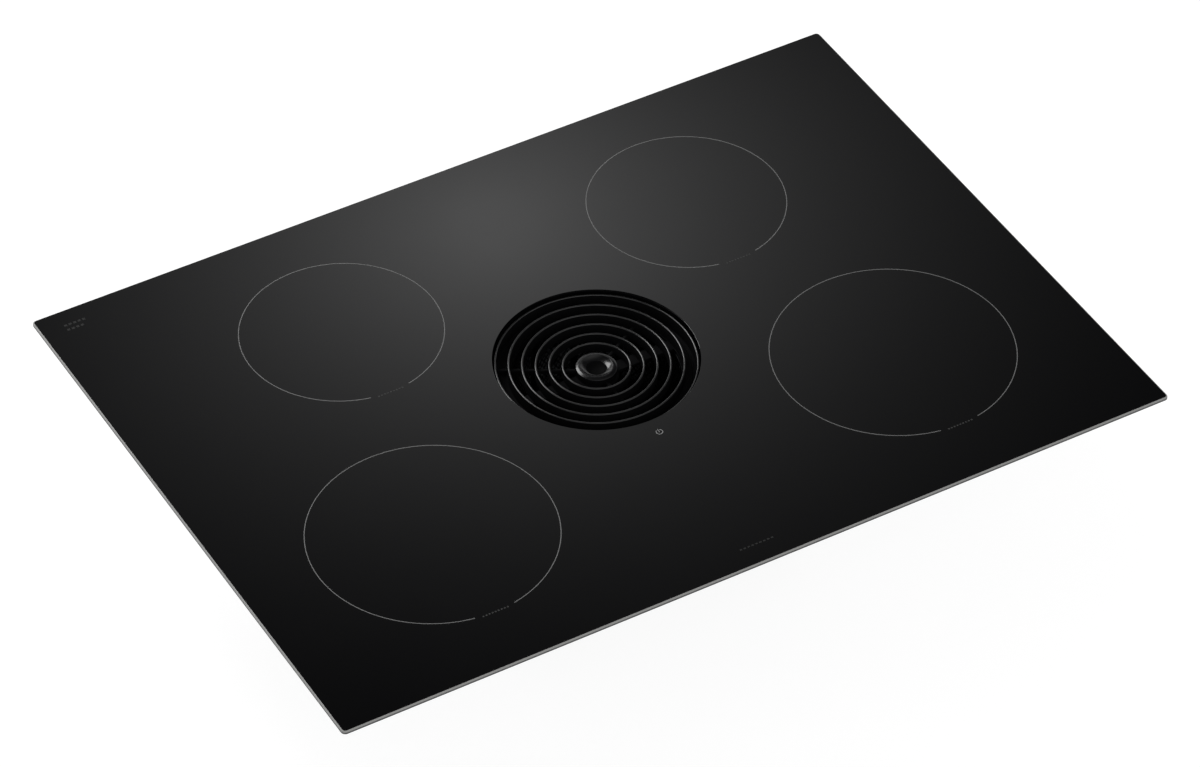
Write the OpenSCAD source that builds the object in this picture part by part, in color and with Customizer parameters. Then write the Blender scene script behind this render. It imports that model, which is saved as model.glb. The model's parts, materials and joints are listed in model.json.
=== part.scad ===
// Downdraft induction cooktop: a glass ceramic plate with four induction zones round a
// central air intake, over a sheet steel pan that holds the coils and electronics, and
// an air box that holds the extractor fan. Millimetres, +Z up, front edge towards -Y.
// The origin is on the floor, under the centre of the glass plate.

/* [Glass plate] */
// Width of the glass plate, left to right
glass_w = 783; // [776:1:820]
// Depth of the glass plate, front to rear
glass_d = 558; // [552:1:590]
// Thickness of the glass ceramic
glass_t = 4; // [3.6:0.1:5]
// Corner radius of the glass plate, seen from above
glass_corner_r = 4; // [3:0.5:8]
// Bevel ground along the top edge of the glass
glass_bevel = 1; // [0.6:0.1:1.6]
// Bevel ground along the bottom edge of the glass
glass_foot_bevel = 0.8; // [0.4:0.1:1.2]
// Height of the whole cooktop, floor of the air box to top of the glass
overall_h = 210; // [210:1:230]

/* [Sealing strip] */
// Thickness of the foam strip that rests on the worktop
seal_t = 2; // [1.5:0.5:3]
// Width of the foam strip
seal_w = 9; // [6:1:10]
// Distance of the foam strip from the edge of the glass
seal_inset = 4; // [3:1:5]

/* [Cooking zones] */
// Radius of the two front zones
front_zone_r = 105; // [95:0.5:107]
// Distance of the front zone centres from the middle, left and right
front_zone_x = 222; // [218:1:230]
// Distance of the front zone centres from the front edge of the glass
front_zone_inset = 163; // [160:0.5:167]
// Radius of the two rear zones
rear_zone_r = 87.5; // [80:0.5:90]
// Distance of the rear zone centres from the middle, left and right
rear_zone_x = 170; // [166:1:182]
// Distance of the rear zone centres from the rear edge of the glass
rear_zone_inset = 141.5; // [134:0.5:145]

/* [Coils] */
// Thickness of a coil winding
winding_t = 5.5; // [4:0.5:6]
// Width of one turn of the winding
turn_w = 3.4; // [2.8:0.2:5]
// Inner radius of the winding
winding_bore_r = 22; // [18:1:26]
// Thickness of the ferrite bars under the winding
ferrite_t = 4.5; // [3.5:0.5:5]
// Thickness of the aluminium plate that carries a coil
carrier_t = 1.5; // [1:0.25:2]
// Thickness of the mica disc over a coil
mica_t = 0.6; // [0.4:0.1:0.8]
// Thickness of the aluminium shield plate under the coils
shield_t = 1.5; // [1:0.25:2]

/* [Intake and grille] */
// Radius of the round opening in the glass
vent_r = 88; // [87.7:0.1:89]
// Number of rings in the grille
ring_count = 6; // [4:1:8]
// Radius of the middle of the grille's outer ring
ring_outer_r = 85.6; // [84.5:0.1:86]
// Radius of the middle of the grille's inner ring
ring_inner_r = 28.5; // [28:0.1:30]
// Thickness of a grille ring
ring_t = 1.8; // [1.4:0.1:2.4]
// Depth of the outer ring's top below the glass surface
ring_edge_depth = 3.6; // [2:0.2:5]
// Depth of the hub's top below the glass surface
hub_depth = 7.8; // [5:0.2:9]
// Radius of the grille's hub
hub_r = 17.6; // [16:0.2:20]
// Radius of the hub's crest, from where it falls to the finger dish inside
hub_crest_r = 13.8; // [12:0.2:15]
// Depth of the finger dish in the hub
hub_dish_depth = 6.5; // [5:0.5:6.5]
// Number of spokes under the rings
spoke_count = 3; // [3:1:6]
// Height of the spokes
spoke_h = 4; // [3:0.5:5]

/* [Intake well] */
// Inner radius of the plastic well under the glass
well_r = 89.5; // [89.2:0.1:91]
// Wall of the well
well_wall = 2.5; // [2:0.25:3]
// Depth of the ledge that carries the filter, below the glass surface
ledge_depth = 20; // [19:0.5:22]
// Inner radius of the ledge
ledge_r = 79; // [78.6:0.2:80]

/* [Grease filter and drip tray] */
// Radius of the filter basket
basket_r = 77; // [74:0.5:77.5]
// Depth of the filter basket, rim to bottom
basket_h = 84; // [74:1:90]
// Number of posts round the basket
basket_posts = 12; // [8:1:16]
// Radius of the drip tray's wall
tray_r = 75; // [70:0.5:75.5]
// Height of the drip tray's wall
tray_h = 32; // [26:1:40]

/* [Steel pan] */
// Width of the pan that drops into the worktop
pan_w = 728; // [722:1:734]
// How far the glass reaches past the pan, at the front and at the rear
glass_over_pan = 24; // [20:0.5:26]
// Height of the pan, glass to underside
pan_h = 46; // [44.5:0.5:46.5]
// Sheet thickness of the pan
pan_sheet = 1.2; // [0.8:0.1:1.6]
// Height of the slope round the foot of the pan
pan_slope = 26; // [20:1:27]
// Width of the flange that is glued to the glass
flange_w = 14; // [10:1:18]

/* [Air box] */
// Width of the air box
box_w = 300; // [294:1:320]
// Distance of the air box's front wall from the middle
box_front = 118; // [114:1:124]
// Distance of the air box's rear wall from the middle
box_rear = 236; // [235:0.5:238]
// Wall of the air box
box_wall = 2.5; // [2:0.25:3]
// Radius of the air box's upright corners
box_corner_r = 18; // [12:1:24]
// Height of the sloping foot of the front wall
box_slope_h = 45; // [35:1:55]
// How far the front wall slopes back at its foot
box_slope_run = 26; // [20:1:30]
// Thickness of the air box's cover
cover_t = 3; // [2.5:0.25:3.25]

/* [Extractor fan] */
// Gap between the fan's scroll and the air box's cover
scroll_top_gap = 2.5; // [2:0.5:6]
// Gap between the fan's scroll and the filter basket
scroll_front_gap = 0.5; // [0.5:0.5:2]
// Gap between the blower wheel and its scroll, at the tongue
scroll_gap = 6.5; // [6:0.5:8]
// Growth of the scroll's radius in a quarter turn
scroll_growth = 8; // [7:0.5:8.5]
// Gap between the ends of the blower wheel and the sides of the scroll
wheel_end_gap = 10; // [9.5:0.5:18]
// Number of blades on the blower wheel
blade_count = 30; // [20:1:36]
// Width of the scroll, inside
scroll_w = 216; // [214:1:217]
// Gap between the blower motor and the blades round it
motor_gap = 9; // [7:0.5:13]
// Length of the blower motor
motor_len = 52; // [44:1:60]
// Radius of the blower shaft
shaft_r = 3; // [2.5:0.1:4]

/* [Duct outlet] */
// Width of the duct spigot, outside
duct_w = 222; // [222:0.5:224]
// Height of the duct spigot, outside
duct_h = 89; // [88:0.5:90]
// Length of the duct spigot behind the air box
duct_len = 18; // [14:1:18]
// Wall of the duct spigot
duct_wall = 2; // [1.5:0.25:2.25]

/* [Cooling fans] */
// Width of a cooling fan's square case
case_w = 78; // [74:1:84]
// Radius of a cooling fan's wheel
cool_r = 31; // [26:0.5:32]
// Radius of the pin that a cooling fan's wheel turns on
pin_r = 2.5; // [2:0.1:3]

/* [Cable entry] */
// Radius of the bore for the supply cable
gland_r = 6.5; // [5:0.25:7]
// Length of that bore
gland_len = 16; // [12:1:20]

/* [Hidden] */
$fn = 64;

// How far a cutting shape runs past what it cuts
past = 1;
// Gap between two parts that lie on each other and come apart
rest_gap = 0.3;
// Gap round a part that lifts out, and round a screw in its hole
loose = 0.5;
// Radial gap of a turning fit
run_gap = 0.06;

// Sizes that follow the glass
pan_d = glass_d - 2 * glass_over_pan;
front_zone_y = glass_d / 2 - front_zone_inset;
rear_zone_y = glass_d / 2 - rear_zone_inset;

// Levels above the floor
z_glass = overall_h - glass_t;
z_pan = z_glass - pan_h;
z_cover = z_pan - cover_t;
z_ledge = overall_h - ledge_depth;

// The coil stack, from the glass down
z_mica = z_glass - rest_gap - mica_t;
z_winding = z_mica - rest_gap - winding_t;
z_carrier = z_winding - rest_gap - ferrite_t - carrier_t;
leaf_h = 5.5;
z_shield = z_carrier - leaf_h - shield_t;
z_pan_floor = z_pan + pan_sheet;

// Zone centres, radii and names, in the order front left, front right, rear left, rear right
zones = [
    [-front_zone_x, -front_zone_y, front_zone_r],
    [front_zone_x, -front_zone_y, front_zone_r],
    [-rear_zone_x, rear_zone_y, rear_zone_r],
    [rear_zone_x, rear_zone_y, rear_zone_r]
];
// How much smaller than its zone a coil's plate and winding are
carrier_margin = 1;
winding_margin = 5;
sensor_r = 9;

// Colours
glass_black = [0.03, 0.03, 0.035];
cast_black = [0.06, 0.06, 0.065];
gloss_black = [0.09, 0.09, 0.1];
moulded_grey = [0.16, 0.165, 0.17];
zinc = [0.72, 0.74, 0.76];
alu = [0.8, 0.81, 0.82];
steel = [0.6, 0.61, 0.62];
copper = [0.62, 0.33, 0.2];
ferrite_grey = [0.2, 0.2, 0.21];
mica_tan = [0.78, 0.72, 0.6];
board_green = [0.08, 0.3, 0.16];
foam_grey = [0.22, 0.22, 0.23];
silicone_red = [0.55, 0.2, 0.15];

// A rectangle with round corners, centred
module round_rect(w, d, r) {
    square([w - 2 * r, d], center = true);
    square([w, d - 2 * r], center = true);
    for (x = [-1, 1], y = [-1, 1])
        translate([x * (w / 2 - r), y * (d / 2 - r)])
            circle(r);
}

// A plate with round corners, standing on z
module round_plate(w, d, r, z, h) {
    translate([0, 0, z])
        linear_extrude(h)
            round_rect(w, d, r);
}

// A tube standing on z
module tube(r_out, r_in, z, h) {
    translate([0, 0, z])
        difference() {
            cylinder(r = r_out, h = h);
            translate([0, 0, -past])
                cylinder(r = r_in, h = h + 2 * past);
        }
}

// A box given by its lowest and highest corners
module block(low, high) {
    translate(low)
        cube(high - low);
}

// An outline in Y and Z, drawn out along X about the middle
module along_x(len) {
    rotate([90, 0, 90])
        linear_extrude(len, center = true)
            children();
}

// An outline in X and Z, drawn out along Y about the middle
module along_y(len) {
    rotate([90, 0, 0])
        linear_extrude(len, center = true)
            children();
}

// The wall of a drawn tray from its rim to its floor, for one side: upright, then
// sloping in by run over a height of rise. inset moves the wall and floor inwards.
function wall_points(edge, run, rise, z_foot, z_rim, inset) =
    let (k = sqrt(1 + pow(run / rise, 2)))
    [
        [edge - inset, z_rim],
        [edge - inset, z_foot + rise + inset * (k - 1) * rise / run],
        [edge - run + inset * (run / rise - k), z_foot + inset]
    ];
function flipped(points) =
    [for (i = [len(points) - 1:-1:0]) [-points[i][0], points[i][1]]];

// Screws: head below z = 0, shank upwards, and the hole that the shank needs
screw_r = 2;
screw_head_r = 4;
screw_head_h = 2.4;
module screw(len) {
    difference() {
        union() {
            translate([0, 0, -screw_head_h])
                cylinder(r = screw_head_r, h = screw_head_h);
            cylinder(r = screw_r, h = len);
        }
        for (turn = [0, 90])
            rotate(turn)
                translate([-2, -0.5, -screw_head_h - past])
                    cube([4, 1, 1.2 + past]);
    }
}
module screw_hole(len) {
    translate([0, 0, -past])
        cylinder(r = screw_r + 0.2, h = len + 2 * past);
}

// The glass plate, with its edges bevelled above and below and a polished round opening
module glass_top() {
    bevel_z = overall_h - glass_bevel;
    foot_z = z_glass + glass_foot_bevel;
    rim_bevel = 0.8;
    slice = 0.01;
    color(glass_black)
        difference() {
            union() {
                hull() {
                    round_plate(glass_w - 2 * glass_foot_bevel, glass_d - 2 * glass_foot_bevel,
                        glass_corner_r - glass_foot_bevel, z_glass, slice, $fn = 32);
                    round_plate(glass_w, glass_d, glass_corner_r, foot_z - slice, slice, $fn = 32);
                }
                round_plate(glass_w, glass_d, glass_corner_r, foot_z, bevel_z - foot_z);
                hull() {
                    round_plate(glass_w, glass_d, glass_corner_r, bevel_z, slice, $fn = 32);
                    round_plate(glass_w - 2 * glass_bevel, glass_d - 2 * glass_bevel,
                        glass_corner_r - glass_bevel, overall_h - slice, slice, $fn = 32);
                }
            }
            translate([0, 0, z_glass - past])
                cylinder(r = vent_r, h = glass_t + 2 * past);
            translate([0, 0, overall_h - rim_bevel])
                cylinder(r1 = vent_r, r2 = vent_r + rim_bevel + past, h = rim_bevel + past);
        }
}

// The foam strip under the rim of the glass
module edge_seal() {
    w = glass_w - 2 * seal_inset;
    d = glass_d - 2 * seal_inset;
    color(foam_grey)
        difference() {
            round_plate(w, d, glass_corner_r, z_glass - seal_t, seal_t);
            block([-w / 2 + seal_w, -d / 2 + seal_w, z_glass - seal_t - past],
                [w / 2 - seal_w, d / 2 - seal_w, z_glass + past]);
        }
}

// The pan
// The pan's outer form, or with an inset the space inside its sheet
module pan_form(inset, z_rim) {
    across = wall_points(pan_w / 2, pan_slope, pan_slope, z_pan, z_rim, inset);
    deep = wall_points(pan_d / 2, pan_slope, pan_slope, z_pan, z_rim, inset);
    intersection() {
        along_y(pan_d)
            polygon(concat(across, flipped(across)));
        along_x(pan_w)
            polygon(concat(deep, flipped(deep)));
    }
}

cool_x = 232;
cool_y = 108;
intake_r = cool_r + 3;
well_hole_gap = 2;
well_out_r = well_r + well_wall;

// Round field of slots that a cooling fan draws through
module intake_slots() {
    slot = 4;
    pitch = 8;
    n = floor(intake_r / pitch);
    for (i = [-n:n]) {
        half = sqrt(pow(intake_r, 2) - pow(i * pitch, 2));
        block([i * pitch - slot / 2, -half, z_pan - past],
            [i * pitch + slot / 2, half, z_pan_floor + past]);
    }
}

// Row of upright slots along Y through a side wall
slot_z = z_pan + pan_slope + 3;
slot_h = pan_h - pan_slope - 7;
module side_slots(count, pitch) {
    for (i = [0:count - 1])
        translate([0, (i - (count - 1) / 2) * pitch, slot_z])
            translate([-5, -2, 0])
                cube([10, 4, slot_h]);
}

box_screw_past = 2;
box_screw_spots = [
    for (x = [-1, 1], y = [-box_front + 20, 30, box_rear - 30])
        [x * (box_w / 2 + 5), y]
];

module burner_pan() {
    wall = pan_w / 2 - pan_sheet / 2;
    rear = pan_d / 2 - pan_sheet / 2;
    color(zinc)
        difference() {
            pan_form(0, z_glass);
            pan_form(pan_sheet, z_glass - pan_sheet);
            block([-pan_w / 2 + flange_w, -pan_d / 2 + flange_w, z_glass - 2 * pan_sheet],
                [pan_w / 2 - flange_w, pan_d / 2 - flange_w, z_glass + past]);
            translate([0, 0, z_pan - past])
                cylinder(r = well_out_r + well_hole_gap, h = pan_sheet + 2 * past);
            for (x = [-1, 1]) {
                translate([x * cool_x, cool_y, 0])
                    intake_slots();
                translate([x * wall, -30, 0])
                    side_slots(14, 9);
                translate([x * 230, rear, 0])
                    rotate(90)
                        side_slots(12, 9);
                translate([x * 180, -rear, 0])
                    rotate(90)
                        side_slots(10, 9);
                for (y = clip_spots)
                    translate([x * wall - 4, y, clip_screw_z])
                        rotate([0, 90, 0])
                            cylinder(r = screw_r + 0.2, h = 8);
            }
            for (spot = box_screw_spots)
                translate([spot[0], spot[1], z_pan])
                    screw_hole(pan_sheet + box_screw_past);
        }
}

// The plate that shields the electronics from the coils, on hexagonal pillars
shield_w = pan_w - 2 * pan_sheet - 8;
shield_d = pan_d - 2 * pan_sheet - 8;
module coil_shield_plate() {
    bead_x = 340;
    color(alu)
        difference() {
            round_plate(shield_w, shield_d, 6, z_shield, shield_t);
            translate([0, 0, z_shield - past])
                cylinder(r = well_out_r + well_hole_gap, h = shield_t + 2 * past);
            for (zone = zones)
                translate([zone[0], zone[1], z_shield - past])
                    cylinder(r = 12, h = shield_t + 2 * past);
            for (x = [-1, 1], i = [-5:5])
                translate([x * bead_x - 3, i * 36 - 10, z_shield - past])
                    cube([6, 20, shield_t + 2 * past]);
        }
}

// The corner pillars stand this far inside the pan's outline, the middle ones nearer
pillar_in = [42, 50];
mid_pillar_in = 35;
mid_pillar_y = -20;
corner_pillar_y = pan_d / 2 - pillar_in[1];
corner_pillars = [
    for (x = [-1, 1], y = [-1, 1])
        [x * (pan_w / 2 - pillar_in[0]), y * corner_pillar_y]
];
mid_pillars = [for (x = [-1, 1]) [x * (pan_w / 2 - mid_pillar_in), mid_pillar_y]];
inner_pillar_x = 112;
inner_pillars = [
    for (x = [-1, 1], y = [30 - corner_pillar_y, corner_pillar_y - 10])
        [x * inner_pillar_x, y]
];
pillar_spots = concat(corner_pillars, mid_pillars, inner_pillars);
module shield_standoffs() {
    color(steel)
        for (spot = pillar_spots)
            translate([spot[0], spot[1], z_pan_floor])
                cylinder(r = 4.5, h = z_shield - z_pan_floor, $fn = 6);
}

// The coils
module coil_carrier(zone) {
    r = zone[2] - carrier_margin;
    color(alu)
        translate([zone[0], zone[1], z_carrier])
            difference() {
                cylinder(r = r, h = carrier_t);
                translate([0, 0, -past])
                    cylinder(r = 5, h = carrier_t + 2 * past);
                for (i = [0:5])
                    rotate(30 + i * 60)
                        translate([r - 16, -9, -past])
                            cube([20, 18, carrier_t + 2 * past]);
            }
}

// A flat spiral winding as a ridged disc, one ridge for each turn
module coil_winding(zone) {
    groove = 0.9;
    r_out = zone[2] - winding_margin;
    turns = floor((r_out - winding_bore_r) / turn_w);
    step = (r_out - winding_bore_r) / turns;
    top = [
        for (i = [0:turns - 1])
            each [
                [winding_bore_r + i * step, winding_t - groove],
                [winding_bore_r + (i + 0.3) * step, winding_t],
                [winding_bore_r + (i + 0.7) * step, winding_t]
            ]
    ];
    color(copper)
        translate([zone[0], zone[1], z_winding])
            rotate_extrude()
                polygon(concat([[r_out, 0], [winding_bore_r, 0]], top,
                    [[r_out, winding_t - groove]]));
}

module mica_discs() {
    color(mica_tan)
        for (zone = zones)
            translate([zone[0], zone[1], 0])
                tube(zone[2] + 1, sensor_r + 3, z_mica, mica_t);
}

// Radial bars between a coil's plate and its winding
module ferrite_bars() {
    bar_w = 14;
    color(ferrite_grey)
        for (zone = zones) {
            bars = zone[2] > 95 ? 10 : 8;
            for (i = [0:bars - 1])
                translate([zone[0], zone[1], z_carrier + carrier_t])
                    rotate(i * 360 / bars)
                        translate([winding_bore_r + 6, -bar_w / 2, 0])
                            cube([zone[2] - winding_bore_r - 28, bar_w, ferrite_t]);
        }
}

// The sprung probe that touches the glass in the middle of a zone
module temperature_sensors() {
    z = z_carrier + carrier_t;
    cap_h = 3;
    color(steel)
        for (zone = zones)
            translate([zone[0], zone[1], z]) {
                cylinder(r = sensor_r - 3, h = z_glass - rest_gap - cap_h - z);
                translate([0, 0, z_glass - rest_gap - cap_h - z])
                    cylinder(r = sensor_r, h = cap_h);
            }
}

// Bent strips that press a coil's plate up against the glass
module coil_leaf_springs() {
    strip = 0.6;
    foot = 8;
    crown = 8;
    ramp = 7;
    line = [[0, 0], [foot, 0], [foot + ramp, leaf_h - strip],
        [foot + ramp + crown, leaf_h - strip], [foot + 2 * ramp + crown, 0],
        [2 * foot + 2 * ramp + crown, 0]];
    upper = [for (i = [5:-1:0]) [line[i][0], line[i][1] + strip]];
    color(steel)
        for (zone = zones, turn = [0, 120, 240])
            translate([zone[0], zone[1], z_shield + shield_t])
                rotate(turn + 90)
                    translate([zone[2] - 62, 0, 0])
                        along_y(10)
                            polygon(concat(line, upper));
}

// The touch controls, a little inside the pan's front wall
panel_w = 190;
panel_d = 44;
panel_in = 15;
panel_y = panel_in + panel_d / 2 - pan_d / 2;
panel_tray_h = 10;
panel_board_t = 1.6;
module touch_panel_tray() {
    z = z_shield + shield_t;
    h = panel_tray_h;
    color(moulded_grey)
        translate([0, panel_y, 0])
            difference() {
                round_plate(panel_w, panel_d, 3, z, h);
                round_plate(panel_w - 5, panel_d - 5, 2, z + 2, h);
            }
}

module touch_panel_board() {
    z = z_shield + shield_t + panel_tray_h;
    color(board_green)
        round_plate_at(panel_w - 2, panel_d - 2, panel_y, z, panel_board_t);
}
module round_plate_at(w, d, y, z, h) {
    translate([0, y, 0])
        round_plate(w, d, 2, z, h);
}

module touch_springs() {
    key_pitch = 14;
    key_row = 20;
    spring_r = 3.5;
    spring_t = 1.1;
    z = z_shield + shield_t + panel_tray_h + panel_board_t;
    color(steel)
        for (i = [-6:6], row = [0, 1])
            if (row == 0 || abs(i) % 3 == 0)
                translate([i * key_pitch, panel_y + (row - 0.5) * key_row, 0])
                    tube(spring_r, spring_r - spring_t, z, z_glass - rest_gap - z);
}

// The key by the intake: a post with a small board under the glass
module power_key_module() {
    z = z_shield + shield_t;
    key_y = -(vent_r + 22);
    color(moulded_grey)
        union() {
            block([-7, key_y - 6, z], [7, key_y + 5, z_glass - 3]);
            block([-17, key_y - 8, z_glass - 3], [17, key_y + 8, z_glass - rest_gap]);
        }
}

// The power electronics under the shield plate
board_x = 222;
board_y = -52;
board_w = 196;
board_d = 236;
board_z = z_pan_floor + 5;
board_t = 1.6;
board_pillars = [for (x = [-1, 1], y = [-1, 1]) [x * (board_w / 2 - 7), y * (board_d / 2 - 7)]];
module power_board() {
    color(board_green)
        translate([board_x, board_y, 0])
            round_plate(board_w, board_d, 3, board_z, board_t);
}
module board_standoffs() {
    color(steel)
        for (side = [0, 1])
            mirror([side, 0, 0])
                for (spot = board_pillars)
                    translate([board_x + spot[0], board_y + spot[1], z_pan_floor])
                        cylinder(r = 3, h = board_z - z_pan_floor);
}

// The finned block that the cooling fan blows through
module heat_sink() {
    base_t = 3;
    fins = 13;
    fin_t = 1.4;
    len = 96;
    w = 64;
    h = z_shield - board_z - board_t - 3;
    z = board_z + board_t;
    color(alu)
        translate([cool_x, board_y + 45, z])
            union() {
                translate([-w / 2, -len / 2, 0])
                    cube([w, len, base_t]);
                for (i = [0:fins - 1])
                    translate([-w / 2 + i * (w - fin_t) / (fins - 1), -len / 2, 0])
                        cube([fin_t, len, h]);
            }
}

// Capacitors, chokes, relays and power modules on a board
module board_components() {
    z = board_z + board_t;
    h = z_shield - z - 3;
    color([0.12, 0.12, 0.14])
        translate([board_x, 0, z]) {
            for (x = [-78, -56])
                for (y = [-150, -126])
                    translate([x, y, 0])
                        cylinder(r = 9.5, h = h);
            for (x = [-20, 6])
                translate([x, -140, 0])
                    cube([18, 26, h - 2]);
            for (x = [42, 72])
                translate([x, -136, 0])
                    rotate_extrude()
                        translate([8, 0])
                            square([6, 10]);
            for (y = [-80, -50, -20])
                translate([-84, y, 0])
                    cube([22, 16, 12]);
            for (y = [-88, -66, -44])
                translate([60, y, 0])
                    cube([28, 14, 9]);
        }
}

// The fans that cool the electronics
case_t = 1.5;
case_h = 21.5;
wheel_z = z_pan_floor + 3;
cool_wheel_h = 15;
module cooling_fan_case() {
    z = z_pan_floor;
    color(moulded_grey)
        translate([cool_x, cool_y, 0])
            difference() {
                union() {
                    difference() {
                        round_plate(case_w, case_w, 8, z, case_h);
                        translate([0, 0, z - past])
                            cylinder(r = case_w / 2 - case_t, h = case_h - 2 + past);
                        block([-24, -case_w / 2 - past, z + 3],
                            [case_w / 2 - 10, 0, z + case_h - 4]);
                    }
                    translate([0, 0, wheel_z])
                        cylinder(r = pin_r, h = z + case_h - wheel_z - 1);
                }
            }
}
module cooling_fan_wheel() {
    color(cast_black)
        translate([cool_x, cool_y, wheel_z])
            difference() {
                union() {
                    cylinder(r = 11, h = cool_wheel_h);
                    tube(cool_r, cool_r - 2, 0, 3);
                    translate([0, 0, cool_wheel_h - 1.5])
                        cylinder(r = cool_r - 1, h = 1.5);
                    for (i = [0:17])
                        rotate(i * 20)
                            translate([cool_r - 5, 0, 0])
                                rotate(35)
                                    translate([-5, -0.6, 0])
                                        cube([9, 1.2, cool_wheel_h]);
                }
                translate([0, 0, -past])
                    cylinder(r = pin_r + run_gap, h = cool_wheel_h + 2 * past);
            }
}

// The intake
gasket_t = 1;
well_flange_r = well_out_r + 7;
z_well_top = z_glass - gasket_t;
z_well_foot = z_cover - 6;
module well_gasket() {
    color(silicone_red)
        tube(well_flange_r - 1, well_r + 0.5, z_well_top, gasket_t);
}
// The round shaft from the glass to the air box, with the ledge that carries the filter
module vent_well() {
    flange_t = 3;
    ledge_t = 3;
    color(cast_black)
        rotate_extrude()
            polygon([
                [well_r, z_well_foot],
                [well_out_r, z_well_foot],
                [well_out_r, z_well_top - flange_t],
                [well_flange_r, z_well_top - flange_t],
                [well_flange_r, z_well_top],
                [well_r, z_well_top],
                [well_r, z_ledge],
                [ledge_r, z_ledge],
                [ledge_r, z_ledge - ledge_t],
                [well_r, z_ledge - ledge_t - 8]
            ]);
}

// The filter's rim lies on the ledge and the grille lies on the filter's rim
rim_t = 3;
z_rim = z_ledge + rest_gap;
z_grille = z_rim + rim_t + rest_gap;
ring_pitch = (ring_outer_r - ring_inner_r) / (ring_count - 1);

function ring_radius(i) = ring_inner_r + (i - 1) * ring_pitch;
// The tops of the rings fall in a shallow dish from the outer ring to the hub
function ring_top(i) =
    overall_h - hub_depth + (hub_depth - ring_edge_depth) * pow(i / ring_count, 1.5);

// Concentric rings on low spokes, with a socket for the hub
module grille_rings() {
    edge = 0.4;
    socket_wall = 2.4;
    spoke_t = 3;
    color(cast_black)
        union() {
            for (i = [1:ring_count])
                rotate_extrude()
                    polygon([
                        [ring_radius(i) - ring_t / 2, z_grille],
                        [ring_radius(i) + ring_t / 2, z_grille],
                        [ring_radius(i) + ring_t / 2, ring_top(i) - edge],
                        [ring_radius(i) + ring_t / 2 - edge, ring_top(i)],
                        [ring_radius(i) - ring_t / 2 + edge, ring_top(i)],
                        [ring_radius(i) - ring_t / 2, ring_top(i) - edge]
                    ]);
            tube(hub_r - 0.6, hub_r - 0.6 - socket_wall, z_grille, spoke_h);
            for (i = [0:spoke_count - 1])
                rotate(30 + i * 360 / spoke_count)
                    translate([hub_r - 2, -spoke_t / 2, z_grille])
                        cube([ring_outer_r - hub_r + 2, spoke_t, spoke_h]);
        }
}

// The polished hub: from its crest it rounds off outwards and falls to a finger dish inside
module grille_hub() {
    z_top = overall_h - hub_depth;
    z_seat = z_grille + spoke_h + 0.2;
    stem_r = hub_r - 0.6 - 2.4 - 0.2;
    lip_w = hub_r - hub_crest_r;
    lip_drop = 0.73 * (z_top - z_seat);
    steps = 9;
    lip = [
        for (i = [0:steps])
            let (a = i * 90 / steps)
            [hub_crest_r + lip_w * cos(a), z_top - lip_drop + lip_drop * sin(a)]
    ];
    // The dish is level at its crest and in its middle
    floor_u = 0.2;
    dish = [
        for (u = [0.95, 0.9, 0.84, 0.77, 0.69, 0.6, 0.5, 0.38, floor_u])
            [hub_crest_r * u, z_top - hub_dish_depth * pow(1 - pow(u, 3), 1.2)]
    ];
    dish_floor = z_top - hub_dish_depth * pow(1 - pow(floor_u, 3), 1.2);
    color(gloss_black)
        rotate_extrude()
            polygon(concat(
                [[0, z_grille + 0.4], [stem_r, z_grille + 0.4], [stem_r, z_seat], [hub_r, z_seat]],
                lip,
                dish,
                [[0, dish_floor]]));
}

// The filter basket: a rim, a closed cup, and metal panels that join the two
cup_h = 14;
post_t = 2.6;
mesh_seat = 9;
collar_drop = 6;
z_basket = z_rim + rim_t - basket_h;
module filter_rim() {
    rim_r = min(vent_r, well_r) - loose - 0.2;
    color(moulded_grey)
        union() {
            tube(rim_r, basket_r - 4, z_rim, rim_t);
            tube(basket_r, basket_r - post_t, z_rim - collar_drop, collar_drop + 0.5);
        }
}
module filter_cup() {
    color(moulded_grey)
        translate([0, 0, z_basket])
            rotate_extrude()
                polygon([
                    [0, 0],
                    [basket_r - 3, 0],
                    [basket_r, 3],
                    [basket_r, cup_h],
                    [basket_r - post_t, cup_h],
                    [basket_r - post_t, mesh_seat],
                    [basket_r - post_t - 4, mesh_seat],
                    [basket_r - post_t - 4, 2.5],
                    [0, 2.5]
                ]);
}

// The filter's slotted metal panels. Their upright edges are folded out into posts.
mesh_t = 1.6;
panel_gap = 0.5;
module filter_mesh() {
    z_low = z_basket + mesh_seat + rest_gap;
    z_high = z_rim - 1;
    z_post = z_basket + cup_h + rest_gap;
    post_h = z_rim - collar_drop - rest_gap - z_post;
    r = basket_r - post_t - rest_gap;
    half = 180 / basket_posts;
    post_w = 2.4;
    slot_w = 5;
    rows = 3;
    row_h = (z_high - z_post) / rows;
    color(alu)
        for (i = [0:basket_posts - 1])
            rotate(i * 360 / basket_posts)
                difference() {
                    union() {
                        tube_sector(r, r - mesh_t, z_low, z_high - z_low, half);
                        for (side = [0, 1])
                            mirror([0, side, 0])
                                rotate(half)
                                    block([r - mesh_t, -panel_gap / 2 - post_w, z_post],
                                        [basket_r - rest_gap, -panel_gap / 2, z_post + post_h]);
                    }
                    for (slot = [-1:1], row = [0:rows - 1])
                        rotate(slot * half * 0.6)
                            block([r - mesh_t - past, -slot_w / 2, z_post + row * row_h + 3],
                                [r + past, slot_w / 2, z_post + (row + 1) * row_h - 3]);
                }
}
// The part of a tube within half an angle to each side of +X, less half the gap
module tube_sector(r_out, r_in, z, h, half) {
    far = 2 * r_out;
    difference() {
        tube(r_out, r_in, z, h);
        rotate(half)
            block([-far, -panel_gap / 2, z - past], [far, far, z + h + past]);
        rotate(-half)
            block([-far, -far, z - past], [far, panel_gap / 2, z + h + past]);
    }
}

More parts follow.
